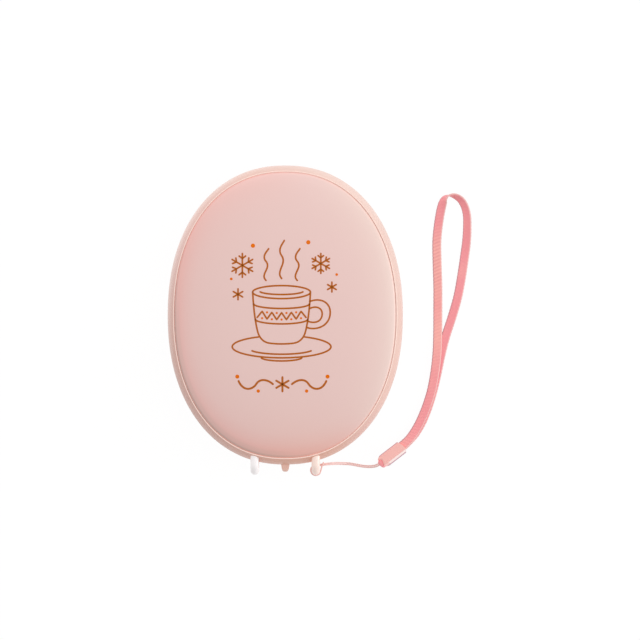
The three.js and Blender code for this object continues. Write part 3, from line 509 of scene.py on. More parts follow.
@dataclass(frozen=True)
class Woven(Finish):
    """Woven or braided yarn in two tones, darker between its rows."""

    sheen: float = 0.25
    patch_tone: Tone = Tone.STRAP_PINK
    patches: float = 120.0
    shade_tone: Tone = Tone.STRAP_SHADE
    pitch: float = 1.2
    lean: float = 0.0
    fuzz: float = 0.5
    contrast: float = 0.5

    def dress(self, graph: Graph, shader: Node) -> None:
        """Build the yarn rows, their shaded gaps and the fuzz of their fibres.

        Args:
            graph: the material's nodes.
            shader: its shader.
        """
        yarn = Effect.YARN.use(graph, Pitch=self.pitch, Lean=self.lean, Fuzz=self.fuzz)
        gap = graph.math("MULTIPLY", graph.math("SUBTRACT", 1.0, yarn.outputs["Shade"]), self.contrast)
        shaded = graph.math("MULTIPLY", gap, graph.mark("Ribbed"))
        color = graph.blend(shaded, self.dyed(graph), self.shade_tone.linear())
        fibres = graph.math("MULTIPLY", graph.noise(FIBRE_SCALE, 2.0), self.spread)
        roughness = graph.math("ADD", self.roughness, fibres)
        color = self.drifted(graph, self.with_painted_edges(graph, color))
        self.lay(graph, shader, color, roughness, yarn.outputs["Height"])

    def dyed(self, graph: Graph) -> Socket:
        """Give the yarn's colour, from one tone to the other by the Dye value, and in patches."""
        share = graph.math("ADD", graph.mark("Dye"), graph.swing(graph.noise(self.patches, 1.0), 1.0))
        return graph.blend(share, self.tone.linear(), self.patch_tone.linear())

    def with_painted_edges(self, graph: Graph, color: Value) -> Value:
        """Give the colour with any painted shade and highlight along the edges; plain yarn gets none."""
        return color


@dataclass(frozen=True)
class Webbing(Woven):
    """Webbing with painted shade along one selvedge and a painted highlight along the other."""

    selvedge_shade_tone: Tone = Tone.SELVEDGE_SHADE
    selvedge_highlight_tone: Tone = Tone.SELVEDGE_HIGHLIGHT
    border: float = 1.5
    strength: float = 0.75

    def with_painted_edges(self, graph: Graph, color: Value) -> Socket:
        """Paint shade along one selvedge and a highlight along the other.

        Args:
            graph: the material's nodes.
            color: the yarn's colour.

        Returns:
            The colour with its painted edges.
        """
        for side, tone in ((-1.0, self.selvedge_shade_tone), (1.0, self.selvedge_highlight_tone)):
            across = graph.math("MULTIPLY", graph.mark("Across"), side)
            beyond = graph.math("GREATER_THAN", across, self.border)
            color = graph.blend(graph.math("MULTIPLY", beyond, self.strength), color, tone.linear())
        return color


@dataclass(frozen=True)
class Traced(Finish):
    """A sheet that carries rows of a second colour, such as a heater film or a circuit board."""

    trace_tone: Tone = Tone.FILM_TRACE
    rows: float = 55.0
    share: float = 0.55
    wander: float = 1.2

    def dress(self, graph: Graph, shader: Node) -> None:
        """Build the sheet with its rows.

        Args:
            graph: the material's nodes.
            shader: its shader.
        """
        inputs = {
            "Vector": graph.add("TexCoord").outputs["Object"],
            "Scale": self.rows,
            "Distortion": self.wander,
            "Detail": 1.0,
        }
        wave = graph.add("TexWave", inputs, bands_direction="Y")
        band = graph.math("GREATER_THAN", wave.outputs["Fac"], self.share)
        color = self.drifted(graph, graph.blend(band, self.tone.linear(), self.trace_tone.linear()))
        self.lay(graph, shader, color, self.grained(graph).outputs["Roughness"], band)


# The cover's tints, shades and edge tone are painted light and shade.
COVER = EdgedPlastic(
    "soft-touch cover", Tone.COVER, 0.5, depth=0.006, drift=0.015,
    lit_tint_tone=Tone.COVER_LIT_TINT, shaded_tint_tone=Tone.COVER_SHADED_TINT, painted_shade_tone=Tone.COVER_PAINTED_SHADE,
    bottom_shade_tone=Tone.COVER_BOTTOM_SHADE, edge_highlight_tone=Tone.COVER_EDGE_HIGHLIGHT,
)
RIM = EdgedPlastic("satin rim", Tone.RIM, 0.42, depth=0.006, drift=0.025)
FOOT = Finish("milk-white foot", Tone.FOOT, 0.32, drift=0.015, coat=0.3)
FOOT_PINK_BOUNCE = Finish("white foot, painted pink bounce", Tone.FOOT_PINK_BOUNCE, 0.32, drift=0.02, coat=0.3)
BUTTON = Finish("satin button", Tone.BUTTON, 0.42, drift=0.02)
LENS = Finish("frosted lens", Tone.LENS, 0.2, drift=0.02, coat=0.6)
INK = Finish("printed line ink", Tone.INK, 0.6, drift=0.12, depth=0.004, shine=0.3)
INK_FILL = Finish("printed solid ink", Tone.INK_FILL, 0.6, drift=0.08, depth=0.004, shine=0.1)
STEEL = Metal("plated steel", Tone.STEEL, 0.3)
CONTACT = Metal("gilt contact", Tone.CONTACT, 0.3)
BLACK = Finish("moulded black plastic", Tone.BLACK, 0.6, depth=0.02)
SLEEVE = Finish("glossy sleeve", Tone.SLEEVE, 0.3, drift=0.02, coat=0.5)
# Painted highlight on the sleeve's lip and painted shade along its underside.
SLEEVE_HIGHLIGHT = Finish("sleeve lip, painted highlight", Tone.SLEEVE_HIGHLIGHT, 0.2, drift=0.01, coat=0.8)
SLEEVE_SHADE_LINE = Finish("sleeve underside, painted shade", Tone.SLEEVE_SHADE_LINE, 0.45, drift=0.03)
PLUG = Finish("coral end plug", Tone.PLUG, 0.4, drift=0.03, coat=0.3)
CORD = Woven(
    "braided cord", Tone.CORD, 0.75, depth=0.012, patch_tone=Tone.CORD, shade_tone=Tone.CORD_SHADE,
    pitch=0.6, lean=1.5, contrast=0.3,
)
STRAP = Webbing(
    "woven webbing", Tone.STRAP, 0.72, depth=0.02, pitch=1.45, lean=-0.43, contrast=0.36, drift=0.04,
)

FINISH_OF_SLOT: dict[str, Finish] = {
    "rim": RIM,
    "cover": COVER,
    "foot": FOOT,
    "button": BUTTON,
    "lens": LENS,
    "light": Finish("light body", Tone.LIGHT, 0.3, coat=0.5),
    "steel": STEEL,
    "black_plastic": BLACK,
    "board": Traced(
        "solder mask", Tone.BOARD, 0.35, trace_tone=Tone.BOARD_TRACE, rows=130.0, share=0.75, coat=0.3,
    ),
    "ferrite": Finish("ferrite", Tone.FERRITE, 0.75, grain=2500.0, depth=0.05, drift=0.15),
    "can": Metal("aluminium can", Tone.ALUMINIUM, 0.25),
    "cell": Finish("shrink sleeve", Tone.CELL, 0.35, drift=0.06, coat=0.3),
    "nickel": Metal("nickel strip", Tone.NICKEL, 0.35),
    "cradle": Finish("natural moulding", Tone.CRADLE, 0.55, depth=0.015, drift=0.04),
    "heat_plate": Metal("mill-finish sheet", Tone.ALUMINIUM, 0.38),
    "heater_film": Traced("polyimide film", Tone.FILM, 0.3, coat=0.4),
    "insulation": Finish("fibre felt", Tone.FELT, 0.95, grain=1600.0, depth=0.25, drift=0.1),
    "red_lead": Finish("red lead", Tone.RED_WIRE, 0.45),
    "black_lead": Finish("black lead", Tone.BLACK_WIRE, 0.45),
    "white_lead": Finish("white lead", Tone.WHITE_WIRE, 0.45),
}


class Skin:
    """Rows of points skinned into one mesh."""

    def __init__(self) -> None:
        """Start with no points."""
        self.rows: list[Points] = []
        self.faces: list[tuple[int, ...]] = []
        self.marks: list[int] = []
        self.values: dict[str, list[Points]] = {}
        self.count = 0

    def cover(
        self, rows: Sequence[Points], wrap: bool = False, caps: bool = False, closed: bool = True,
        zipped: bool = False,
    ) -> Skin:
        """Lay faces between neighbouring rows.

        Args:
            rows: rings or strips of points. A row of one point is a pole.
            wrap: True joins the last row to the first.
            caps: True closes the first and the last row with a flat face.
            closed: True where each row is a ring.
            zipped: True closes a cap with a ladder of faces between the two halves of its ring.

        Returns:
            This skin.
        """
        starts = []
        for row in rows:
            starts.append(self.count)
            self.rows.append(np.asarray(row, float))
            self.count += len(row)
        before = len(self.faces)
        order = list(range(len(rows))) + ([0] if wrap else [])
        for first, second in zip(order, order[1:]):
            low, high = starts[first], starts[second]
            sizes = len(rows[first]), len(rows[second])
            steps = max(sizes) if closed else max(sizes) - 1
            for k in range(steps):
                corners = [low + k % sizes[0], low + (k + 1) % sizes[0]]
                corners += [high + (k + 1) % sizes[1], high + k % sizes[1]]
                self.faces.append(tuple(dict.fromkeys(corners)))
        for place in (0, -1) if caps else ():
            count, start = len(rows[place]), starts[place]
            if zipped:
                pairs = [(start + k, start + count - 1 - k) for k in range(count // 2)]
                self.faces += [(a, b, d, c) for (a, c), (b, d) in zip(pairs, pairs[1:])]
            else:
                self.faces.append(tuple(range(start, start + count)))
        self.marks += [0] * (len(self.faces) - before)
        return self

    def note(self, name: str, values: Iterable[Points]) -> Skin:
        """Keep a value for each point, row by row, as a mesh attribute."""
        self.values.setdefault(name, []).extend(np.asarray(value, float) for value in values)
        return self

    def make(self, name: str, *finishes: Finish, crease: float = CREASE) -> Piece:
        """Turn the rows into an object in metres.

        Args:
            name: the object's name.
            finishes: its finishes, in the order of the faces' marks.
            crease: edges sharper than this angle in degrees stay sharp.

        Returns:
            The new object.
        """
        mesh = bpy.data.meshes.new(name)
        mesh.from_pydata((np.vstack(self.rows) * MM).tolist(), [], self.faces)
        mesh.polygons.foreach_set("material_index", self.marks)
        for title, values in self.values.items():
            mesh.attributes.new(title, "FLOAT", "POINT").data.foreach_set("value", np.concatenate(values))
        work = bmesh.new()
        work.from_mesh(mesh)
        bmesh.ops.recalc_face_normals(work, faces=work.faces)
        work.to_mesh(mesh)
        work.free()
        for finish in finishes:
            mesh.materials.append(finish.material())
        smooth(mesh, crease)
        made = bpy.data.objects.new(name, mesh)
        bpy.context.scene.collection.objects.link(made)
        return made


def smooth(mesh: bpy.types.Mesh, crease: float) -> None:
    """Shade a mesh smooth, but keep edges sharper than an angle in degrees."""
    mesh.shade_smooth()
    mesh.set_sharp_from_angle(angle=math.radians(crease))


def carve(piece: Piece, cutter: Piece, crease: float = CREASE) -> None:
    """Cut a piece with another one, which is then dropped.

    Args:
        piece: the piece to cut.
        cutter: the shape that is cut out of it.
        crease: edges sharper than this angle in degrees stay sharp.
    """
    modifier = piece.modifiers.new("cut", "BOOLEAN")
    modifier.operation, modifier.solver, modifier.object = "DIFFERENCE", "EXACT", cutter
    graph = bpy.context.evaluated_depsgraph_get()
    shaped = bpy.data.meshes.new_from_object(piece.evaluated_get(graph))
    piece.modifiers.clear()
    piece.data = shaped
    bpy.data.objects.remove(cutter)
    smooth(shaped, crease)


def settle(piece: Piece, body: str, slot: str, *nodes: str) -> None:
    """Let a piece ride on a body in place of its CAD nodes.

    Args:
        piece: the finished piece.
        body: the CAD body it moves with.
        slot: the record's material slot; not used.
        nodes: the CAD nodes that it stands for.
    """
    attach(piece, body)
    if nodes:
        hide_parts(*nodes)
    LOG.info("%s: %d faces, rides on %s", piece.name, len(piece.data.polygons), body)


def unit(vectors: Points) -> Points:
    """Give the direction of a vector, or of each row of vectors."""
    return vectors / np.linalg.norm(vectors, axis=-1, keepdims=True)


def ring(radius: float, sides: int) -> Points:
    """Give a circle's points in a plane."""
    turns = np.arange(sides) * math.tau / sides
    return np.column_stack([radius * np.cos(turns), radius * np.sin(turns)])


def rounded_ring(width: float, height: float, corner: float, steps: int = 6) -> Points:
    """Give the points of a rounded rectangle in a plane, from its right side round.

    Args:
        width: its width.
        height: its height.
        corner: the radius of its corners.
        steps: points in each corner.

    Returns:
        The points, each as (x, y).
    """
    points = []
    for quarter, (side_x, side_y) in enumerate(((1, 1), (-1, 1), (-1, -1), (1, -1))):
        x, y = side_x * (width / 2 - corner), side_y * (height / 2 - corner)
        turns = np.linspace(0, math.pi / 2, steps) + quarter * math.pi / 2
        points += [(x + corner * math.cos(t), y + corner * math.sin(t)) for t in turns]
    return np.array(points)


def along_y(flat: Points, y: float, x: float = 0.0, z: float = 0.0) -> Points:
    """Stand a flat ring across the Y axis at a place."""
    return np.column_stack([x + flat[:, 0], np.full(len(flat), y), z + flat[:, 1]])


def turned_rows(profile: Rows, x: float, z: float, sides: int) -> list[Points]:
    """Give the rows of a piece turned about a line along Y, from its (radius, y) profile.

    Args:
        profile: the rows' (radius, y). A radius of 0 is a pole.
        x: where the line is sideways.
        z: where the line is in height.
        sides: points in each row.

    Returns:
        The rows.
    """
    rows = []
    for radius, y in profile:
        rows.append(along_y(ring(radius, sides), y, x, z) if radius else np.array([[x, y, z]]))
    return rows


def rounded_rows(
    size: Size, stations: Rows, x: float = 0.0, z: float = PORT_Z, steps: int = 6, follow: float = 0.0,
) -> list[Points]:
    """Give the rows of a rounded block that lies along Y.

    Args:
        size: its width, height and corner radius.
        stations: each row's place along Y, and how much narrower the block is there.
        x: the middle of its width.
        z: the middle of its height.
        steps: points in each corner.
        follow: how far the corner radius shrinks along with the width, from 0 to 1.

    Returns:
        The rows.
    """
    width, height, corner = size
    return [
        along_y(rounded_ring(width - less, height - less, corner - follow * less, steps), y, x, z)
        for y, less in stations
    ]


class Route:
    """A smooth curve through points, evenly sampled. Columns past the third ride along with it."""

    def __init__(self, knots: Sequence[Sequence[float]], spacing: float) -> None:
        """Fit the curve and sample it.

        Args:
            knots: the points that it passes, in millimetres.
            spacing: distance between samples.
        """
        fine = self.fitted(np.asarray(knots, float))
        steps = np.linalg.norm(np.diff(fine[:, :3], axis=0), axis=1)
        along = np.concatenate([[0.0], np.cumsum(steps)])
        length = float(along[-1])
        self.along = np.linspace(0.0, length, max(2, round(length / spacing)) + 1)
        self.samples = np.column_stack([np.interp(self.along, along, column) for column in fine.T])
        self.points = self.samples[:, :3]
        self.forward = unit(np.gradient(self.points, axis=0))

    @staticmethod
    def fitted(knots: Points, per: int = 24) -> Points:
        """Give dense points of the centripetal Catmull-Rom curve through the knots.

        Args:
            knots: the points that it passes.
            per: points between two knots.

        Returns:
            The points.
        """
        ends = np.vstack([2 * knots[0] - knots[1], knots, 2 * knots[-1] - knots[-2]])
        gaps = np.linalg.norm(np.diff(ends[:, :3], axis=0), axis=1) ** 0.5
        share = np.linspace(0, 1, per, endpoint=False)[:, None]
        dense = []
        for i in range(1, len(ends) - 2):
            before, start, end, after = ends[i - 1:i + 3]
            gap_a, gap, gap_b = gaps[i - 1:i + 2]
            leave = gap * ((start - before) / gap_a - (end - before) / (gap_a + gap) + (end - start) / gap)
            arrive = gap * ((end - start) / gap - (after - start) / (gap + gap_b) + (after - end) / gap_b)
            square = 3 * (end - start) - 2 * leave - arrive
            cube = 2 * (start - end) + leave + arrive
            dense.append(start + leave * share + square * share**2 + cube * share**3)
        return np.vstack([*dense, knots[-1:]])

    def metres(self) -> list[tuple[float, float, float]]:
        """Give the samples in metres."""
        return [tuple(point * MM) for point in self.points]

    def frames(self) -> tuple[Points, Points]:
        """Give two directions across the curve at each sample, carried along it without twist.

        Returns:
            The first directions and the second ones.
        """
        side = np.cross(self.forward[0], (0.0, 0.0, 1.0))
        sides = []
        for forward in self.forward:
            side = unit(side - forward * side.dot(forward))
            sides.append(side)
        sides = np.array(sides)
        return sides, np.cross(sides, self.forward)


@dataclass
class Oval:
    """The oval that the body's outline follows."""

    half_width: float = 49.0
    half_length: float = 62.3
    exponent: float = 2.18
    steps: int = 288

    def ring(self, wide: float, long: float, z: float) -> Points:
        """Give an oval ring of given half sizes at a height, or one point where it has none.

        Args:
            wide: its half width.
            long: its half length.
            z: its height.

        Returns:
            The points.
        """
        if wide == 0:
            return np.array([[0.0, 0.0, z]])
        turns = np.arange(self.steps) * math.tau / self.steps
        c, s = np.cos(turns), np.sin(turns)
        x = np.sign(c) * wide * np.abs(c) ** (2 / self.exponent)
        y = np.sign(s) * long * np.abs(s) ** (2 / self.exponent)
        return np.column_stack([x, y, np.full(self.steps, z)])

    def reach(self, wide: Points, long: Points) -> Points:
        """Give how far out places lie, 1 on the outline, from their shares of its half sizes."""
        return (np.abs(wide) ** self.exponent + np.abs(long) ** self.exponent) ** (1 / self.exponent)

    def inset_ring(self, inset: float, z: float) -> Points:
        """Give the outline drawn in by an inset, at a height."""
        return self.ring(self.half_width - inset, self.half_length - inset, z)

    def wall_y(self, x: float, inset: float = 0.0) -> float:
        """Give where the outline, drawn in by an inset, crosses an x at the button's end."""
        share = abs(x) / (self.half_width - inset)
        return -(self.half_length - inset) * (1 - share**self.exponent) ** (1 / self.exponent)


OVAL = Oval()


@dataclass(frozen=True)
class PaintedLight:
    """How light and shade are painted over a shell: paler toward the lamps, pinker in shade, with painted
    shade in the groove and a warm painted shade at the button's end.
    """

    toward: float
    shift: float
    width: float
    fade: float
    shade_toward: float
    shade_gain: float = 1.3
    ease_toward: float = 210.0
    ease: float = 0.0
    bottom_shade_toward: float = 280.0
    bottom_shade: float = 1.0
    bottom_shade_falloff: int = 8

    def over(self, skin: Skin, rows: Sequence[Points], shade_shares: Iterable[float]) -> list[Points]:
        """Note each point's painted light, from -1, palest toward the lamps, to 1, pinkest in shade, and its
        two painted shades, from 0 to 1.

        Args:
            skin: the shell's skin, which keeps the values.
            rows: the shell's rows of points.
            shade_shares: each row's share of the painted shade, from 0 to 1.

        Returns:
            The painted light, row by row.
        """
        light_tints, painted_shades, bottom_shades = [], [], []
        leans = np.radians([self.toward, self.shade_toward, self.ease_toward, self.bottom_shade_toward])
        for row, share in zip(rows, shade_shares):
            wide, long = row[:, 0] / OVAL.half_width, row[:, 1] / OVAL.half_length
            radius = np.maximum(np.hypot(wide, long), np.finfo(float).tiny)
            facing, shadeward, eased, bottomward = (
                (wide * math.cos(lean) + long * math.sin(lean)) / radius for lean in leans
            )
            outward = np.minimum(OVAL.reach(wide, long), 1) ** self.fade
            # Painted light: a paler tint toward the lamps, a pinker one in shade.
            light_tint = -np.tanh((facing - self.shift) / self.width) * outward
            # Painted shade toward the lower left, scaled by each row's share.
            value = light_tint + share * np.clip(self.shade_gain * shadeward, 0, 1) * (2 - light_tint)
            light_tints.append(np.minimum(value, 1) * (1 - self.ease * np.clip(eased, 0, 1) ** 2))
            painted_shades.append(np.clip(value - 1, 0, 1))
            # Warm painted shade at the button's end.
            bottom_shades.append(self.bottom_shade * outward * np.clip(bottomward, 0, 1) ** self.bottom_shade_falloff)
        skin.note("PaintedLight", light_tints).note("PaintedShade", painted_shades).note("BottomShade", bottom_shades)
        return light_tints


@dataclass
class Casing:
    """The rim frame and the two covers."""

    rim_bulge: float = 5.0
    rim_half_height: float = 14.0
    rim_wall: float = 2.6
    lip_inset: float = 2.25
    # Each lip step: inset, rise and share of the painted edge highlight.
    lip_steps: Rows = (
        (0.0, 0.0, 0.0), (0.08, 0.1, 0.2), (0.16, 0.16, 0.8), (0.22, 0.175, 1.0), (0.44, 0.17, 1.0),
        (0.5, 0.12, 1.0), (0.53, 0.0, 1.0), (0.545, -0.2, 1.0), (0.55, -0.5, 1.0),
    )
    ledge_top: float = 10.6
    ledge_under: float = 8.4
    ledge_reach: float = 7.2
    gusset: tuple[float, float] = (5.6, 6.6)
    cover_inset: float = 2.85
    cover_wall: float = 2.0
    cover_base: float = 11.3
    cover_brim: float = 0.05
    cover_foot: float = 0.3
    cover_shares: tuple[float, ...] = (
        *np.linspace(0, 0.9, 28), 0.918, 0.934, 0.948, 0.96, 0.97, 0.979, 0.986, 0.992, 0.996, 0.999,
    )
    # Painted light and shade over the covers and the rim.
    cover_painted_light: PaintedLight = PaintedLight(10.0, 0.4, 0.6, 6.0, 225.0, ease=0.4, bottom_shade=0.35)
    # Rows of the cover near the groove that get painted shade.
    cover_painted_shade: Table = (
        (25, 28, 31, 33, 34, 35, 36, 37), (0, 0.2, 0.46, 0.46, 0.65, 0.85, 0.4, 0),
    )
    rim_painted_light: PaintedLight = PaintedLight(40.0, 0.4, 0.9, 0.5, 235.0)
    # Painted highlights on the cover's edge rows and in the groove.
    cover_edge_highlight: float = 0.3
    cover_highlight_rows: range = range(34, 40)
    groove_highlight: float = 0.5
    groove_highlight_rows: range = range(37, 40)
    # A painted reflection, paler at the rim's outline on the upper left.
    highlight_toward: float = 140.0
    highlight_inset: float = 1.8
    glow: float = 0.45
    crown: float = 6.7
    crown_power: float = 2.4
    crown_root: float = 0.62
    rest_power: float = 2.0
    rest_share: float = 0.48
    land_share: float = 0.62
    land_top: float = 14.8
    side_steps: int = 30
    holes: Rows = ((-8.2, 1.1), (-5.2, 1.1), (0.0, 2.1), (5.2, 1.1), (8.2, 1.1))
    hole_flare: Rows = ((0.45, -2.0), (0.35, -0.1), (0.0, 0.3), (0.0, 5.0))
    slot: Size = (9.6, 3.8, 1.5)
    slot_outer: tuple[float, float] = (-66.0, -0.7)
    slot_flare: Rows = ((-0.1, -0.35), (0.35, 0.0), (9.0, 0.0))

    def rim_inset(self, height: float) -> float:
        """Give how far the rim's side has drawn in at a height above or below its middle."""
        return self.rim_bulge * (1 - math.sqrt(1 - (height / self.rim_half_height) ** 2))

    def lip(self) -> list[tuple[float, float, float]]:
        """Give the rounded lip beside the groove, as inset, height and painted highlight mark, from outside
        in.
        """
        top = self.rim_half_height * math.sqrt(1 - (1 - self.lip_inset / self.rim_bulge) ** 2)
        return [(self.lip_inset + inset, top + rise, mark) for inset, rise, mark in self.lip_steps]

    def cover_halves(self) -> tuple[float, float]:
        """Give the covers' half width and half length."""
        return OVAL.half_width - self.cover_inset, OVAL.half_length - self.cover_inset

    def cover_height(self, share: float | Points, flat: float = 0.0) -> float | Points:
        """Give a cover's height above the rim's middle at a share of its half sizes.

        Args:
            share: how far out the place is, from 0 at the middle to 1 at the edge.
            flat: the share inside which the cover is flat.

        Returns:
            The height.
        """
        out = np.clip((share - flat) / (1 - flat), 0, 1)
        power = self.rest_power if flat else self.crown_power
        return self.cover_base + self.crown * (1 - out**power) ** self.crown_root

    def face_z(self, x: Points, y: Points) -> Points:
        """Give the front cover's surface height over a place."""
        wide, long = self.cover_halves()
        return MID_Z + self.cover_height(OVAL.reach(x / wide, y / long))

    def painted_reflection_share(self, row: Points, inset: float) -> Points:
        """Give how much painted reflection a row of the rim's side gets: most at the outline on the upper
        left.
        """
        facing = np.cos(np.arctan2(row[:, 1], row[:, 0]) - math.radians(self.highlight_toward))
        return self.glow * max(0.0, 1 - inset / self.highlight_inset) * np.clip(facing, 0, 1) ** 2

    def rim(self) -> None:
        """Build the rim frame with its lips, ledges and the openings at the button's end."""
        lip = self.lip()
        edge = math.asin(lip[0][1] / self.rim_half_height)
        turns = np.linspace(-edge, edge, self.side_steps)[1:-1]
        side = [(self.rim_bulge * (1 - math.cos(t)), self.rim_half_height * math.sin(t), 0.0) for t in turns]
        inner = (
            (lip[-1][0], self.ledge_top), (self.ledge_reach, self.ledge_top),
            (self.ledge_reach, self.ledge_under), (self.gusset[0], self.ledge_under),
            (self.rim_wall, self.gusset[1]),
        )
        upper = lip + [(inset, height, 0.0) for inset, height in inner]
        lower = [(inset, -height, mark) for inset, height, mark in reversed(upper)]
        profile = [*side, *upper, *lower]
        rows = [OVAL.inset_ring(inset, MID_Z + height) for inset, height, _ in profile]
        body = Skin().cover(rows, wrap=True)
        # The rim's edge marks are painted highlights on its lips and a painted reflection at its outline.
        marks = (mark + self.painted_reflection_share(row, inset) for row, (inset, _, mark) in zip(rows, profile))
        body.note("Edge", marks)
        # Painted light and shade over the rim.
        self.rim_painted_light.over(body, rows, [1.0] * len(rows))
        rim = body.make("rim_shell", RIM)
        carve(rim, self.openings())
        settle(rim, "case", "rim", "rim_frame")

    def openings(self) -> Piece:
        """Build the cutter for the button's bore, the lens bores and the charging port's slot.

        Returns:
            The cutter.
        """
        cutter = Skin()
        for x, radius in self.holes:
            wall = OVAL.wall_y(x)
            profile = [(radius + wider, wall + inward) for wider, inward in self.hole_flare]
            cutter.cover(turned_rows([(0, profile[0][1]), *profile, (0, profile[-1][1])], x, MID_Z, 48))
        wall = OVAL.wall_y(0, self.rim_inset(MID_Z - PORT_Z))
        stations = [self.slot_outer, *((wall + inward, narrower) for inward, narrower in self.slot_flare)]
        cutter.cover(rounded_rows(self.slot, stations, steps=9, follow=0.5), caps=True)
        return cutter.make("cutter", RIM)

    def cover_rows(self, flat: float) -> list[Points]:
        """Give the rows of a cover that faces up, its outer face first.

        Args:
            flat: the share of its half sizes inside which the cover is flat.

        Returns:
            The rows.
        """
        wide, long = self.cover_halves()
        rows = [OVAL.ring(wide * s, long * s, self.cover_height(s, flat)) for s in self.cover_shares]
        foot = self.ledge_top + self.cover_foot
        inner = self.cover_inset + self.cover_wall
        skirt = (
            (self.cover_inset, self.cover_base - self.cover_brim), (self.cover_inset, foot), (inner, foot),
            (inner, foot + 1.0),
        )
        rows += [OVAL.inset_ring(inset, height) for inset, height in skirt]
        land = self.land_share
        return [*rows, OVAL.ring(wide * land, long * land, self.land_top), OVAL.ring(0, 0, self.land_top)]

    def covers(self) -> None:
        """Build the front cover and the rear cover, which has a flat middle to lie on."""
        for name, node, flat, side in (
            ("front_face", "front_cover", 0.0, 1), ("rear_face", "rear_cover", self.rest_share, -1),
        ):
            rows = [row * (1, 1, side) + (0, 0, MID_Z) for row in self.cover_rows(flat)]
            skin = Skin().cover(rows)
            # Painted light and shade over each cover.
            light_tint = self.cover_painted_light.over(skin, rows, np.interp(np.arange(len(rows)), *self.cover_painted_shade))
            for k, values in enumerate(light_tint):
                # Painted highlight on the cover's edge where it is not in painted shade, and in the groove.
                pale = self.cover_edge_highlight * (k in self.cover_highlight_rows) * np.clip(0.5 - values, 0, 1)
                skin.note("Edge", [pale + self.groove_highlight * (k in self.groove_highlight_rows)])
            settle(skin.make(name, COVER), "case", "cover", node)

    def build(self) -> None:
        """Build the rim and both covers."""
        self.rim()
        self.covers()


@dataclass
class Feet:
    """The two white bars that stand off the button's end."""

    radius: float = 1.75
    spacing: float = 12.7
    gap: float = 2.25
    rise: float = 9.5
    bend: float = 3.0
    steps: int = 14
    sides: int = 40

    def rows(self, x: float, casing: Casing) -> list[Points]:
        """Give the rings of one foot, from its upper root round to its lower one.

        Args:
            x: the foot's middle.
            casing: the casing whose rim it joins.

        Returns:
            The rings.
        """
        bar_y = OVAL.wall_y(self.spacing) - self.gap - self.radius
        root = OVAL.wall_y(self.spacing, casing.rim_inset(self.rise)) + self.radius
        path = [(root, self.rise, 0.0)]
        for side in (1, -1):
            for lean in np.linspace(0, math.pi / 2, self.steps)[::side]:
                y = bar_y + self.bend * (1 - math.sin(lean))
                height = side * (self.rise - self.bend * (1 - math.cos(lean)))
                path.append((y, height, lean if side > 0 else math.pi - lean))
        path.append((root, -self.rise, math.pi))
        sideways, outward = ring(self.radius, self.sides).T
        rows = []
        for y, height, lean in path:
            rows.append(np.column_stack([
                x + sideways, y - outward * math.sin(lean), MID_Z + height + outward * math.cos(lean),
            ]))
        return rows

    def build(self, casing: Casing) -> None:
        """Build both feet.

        Args:
            casing: the casing whose rim they join.
        """
        for name, side in (("left", -1), ("right", 1)):
            foot = Skin().cover(self.rows(side * self.spacing, casing), caps=True)
            # The right foot takes painted pink light reflected from the cord.
            finish = FOOT if side < 0 else FOOT_PINK_BOUNCE
            settle(foot.make(f"foot_bar_{name}", finish), "case", "foot", f"foot_{name}")


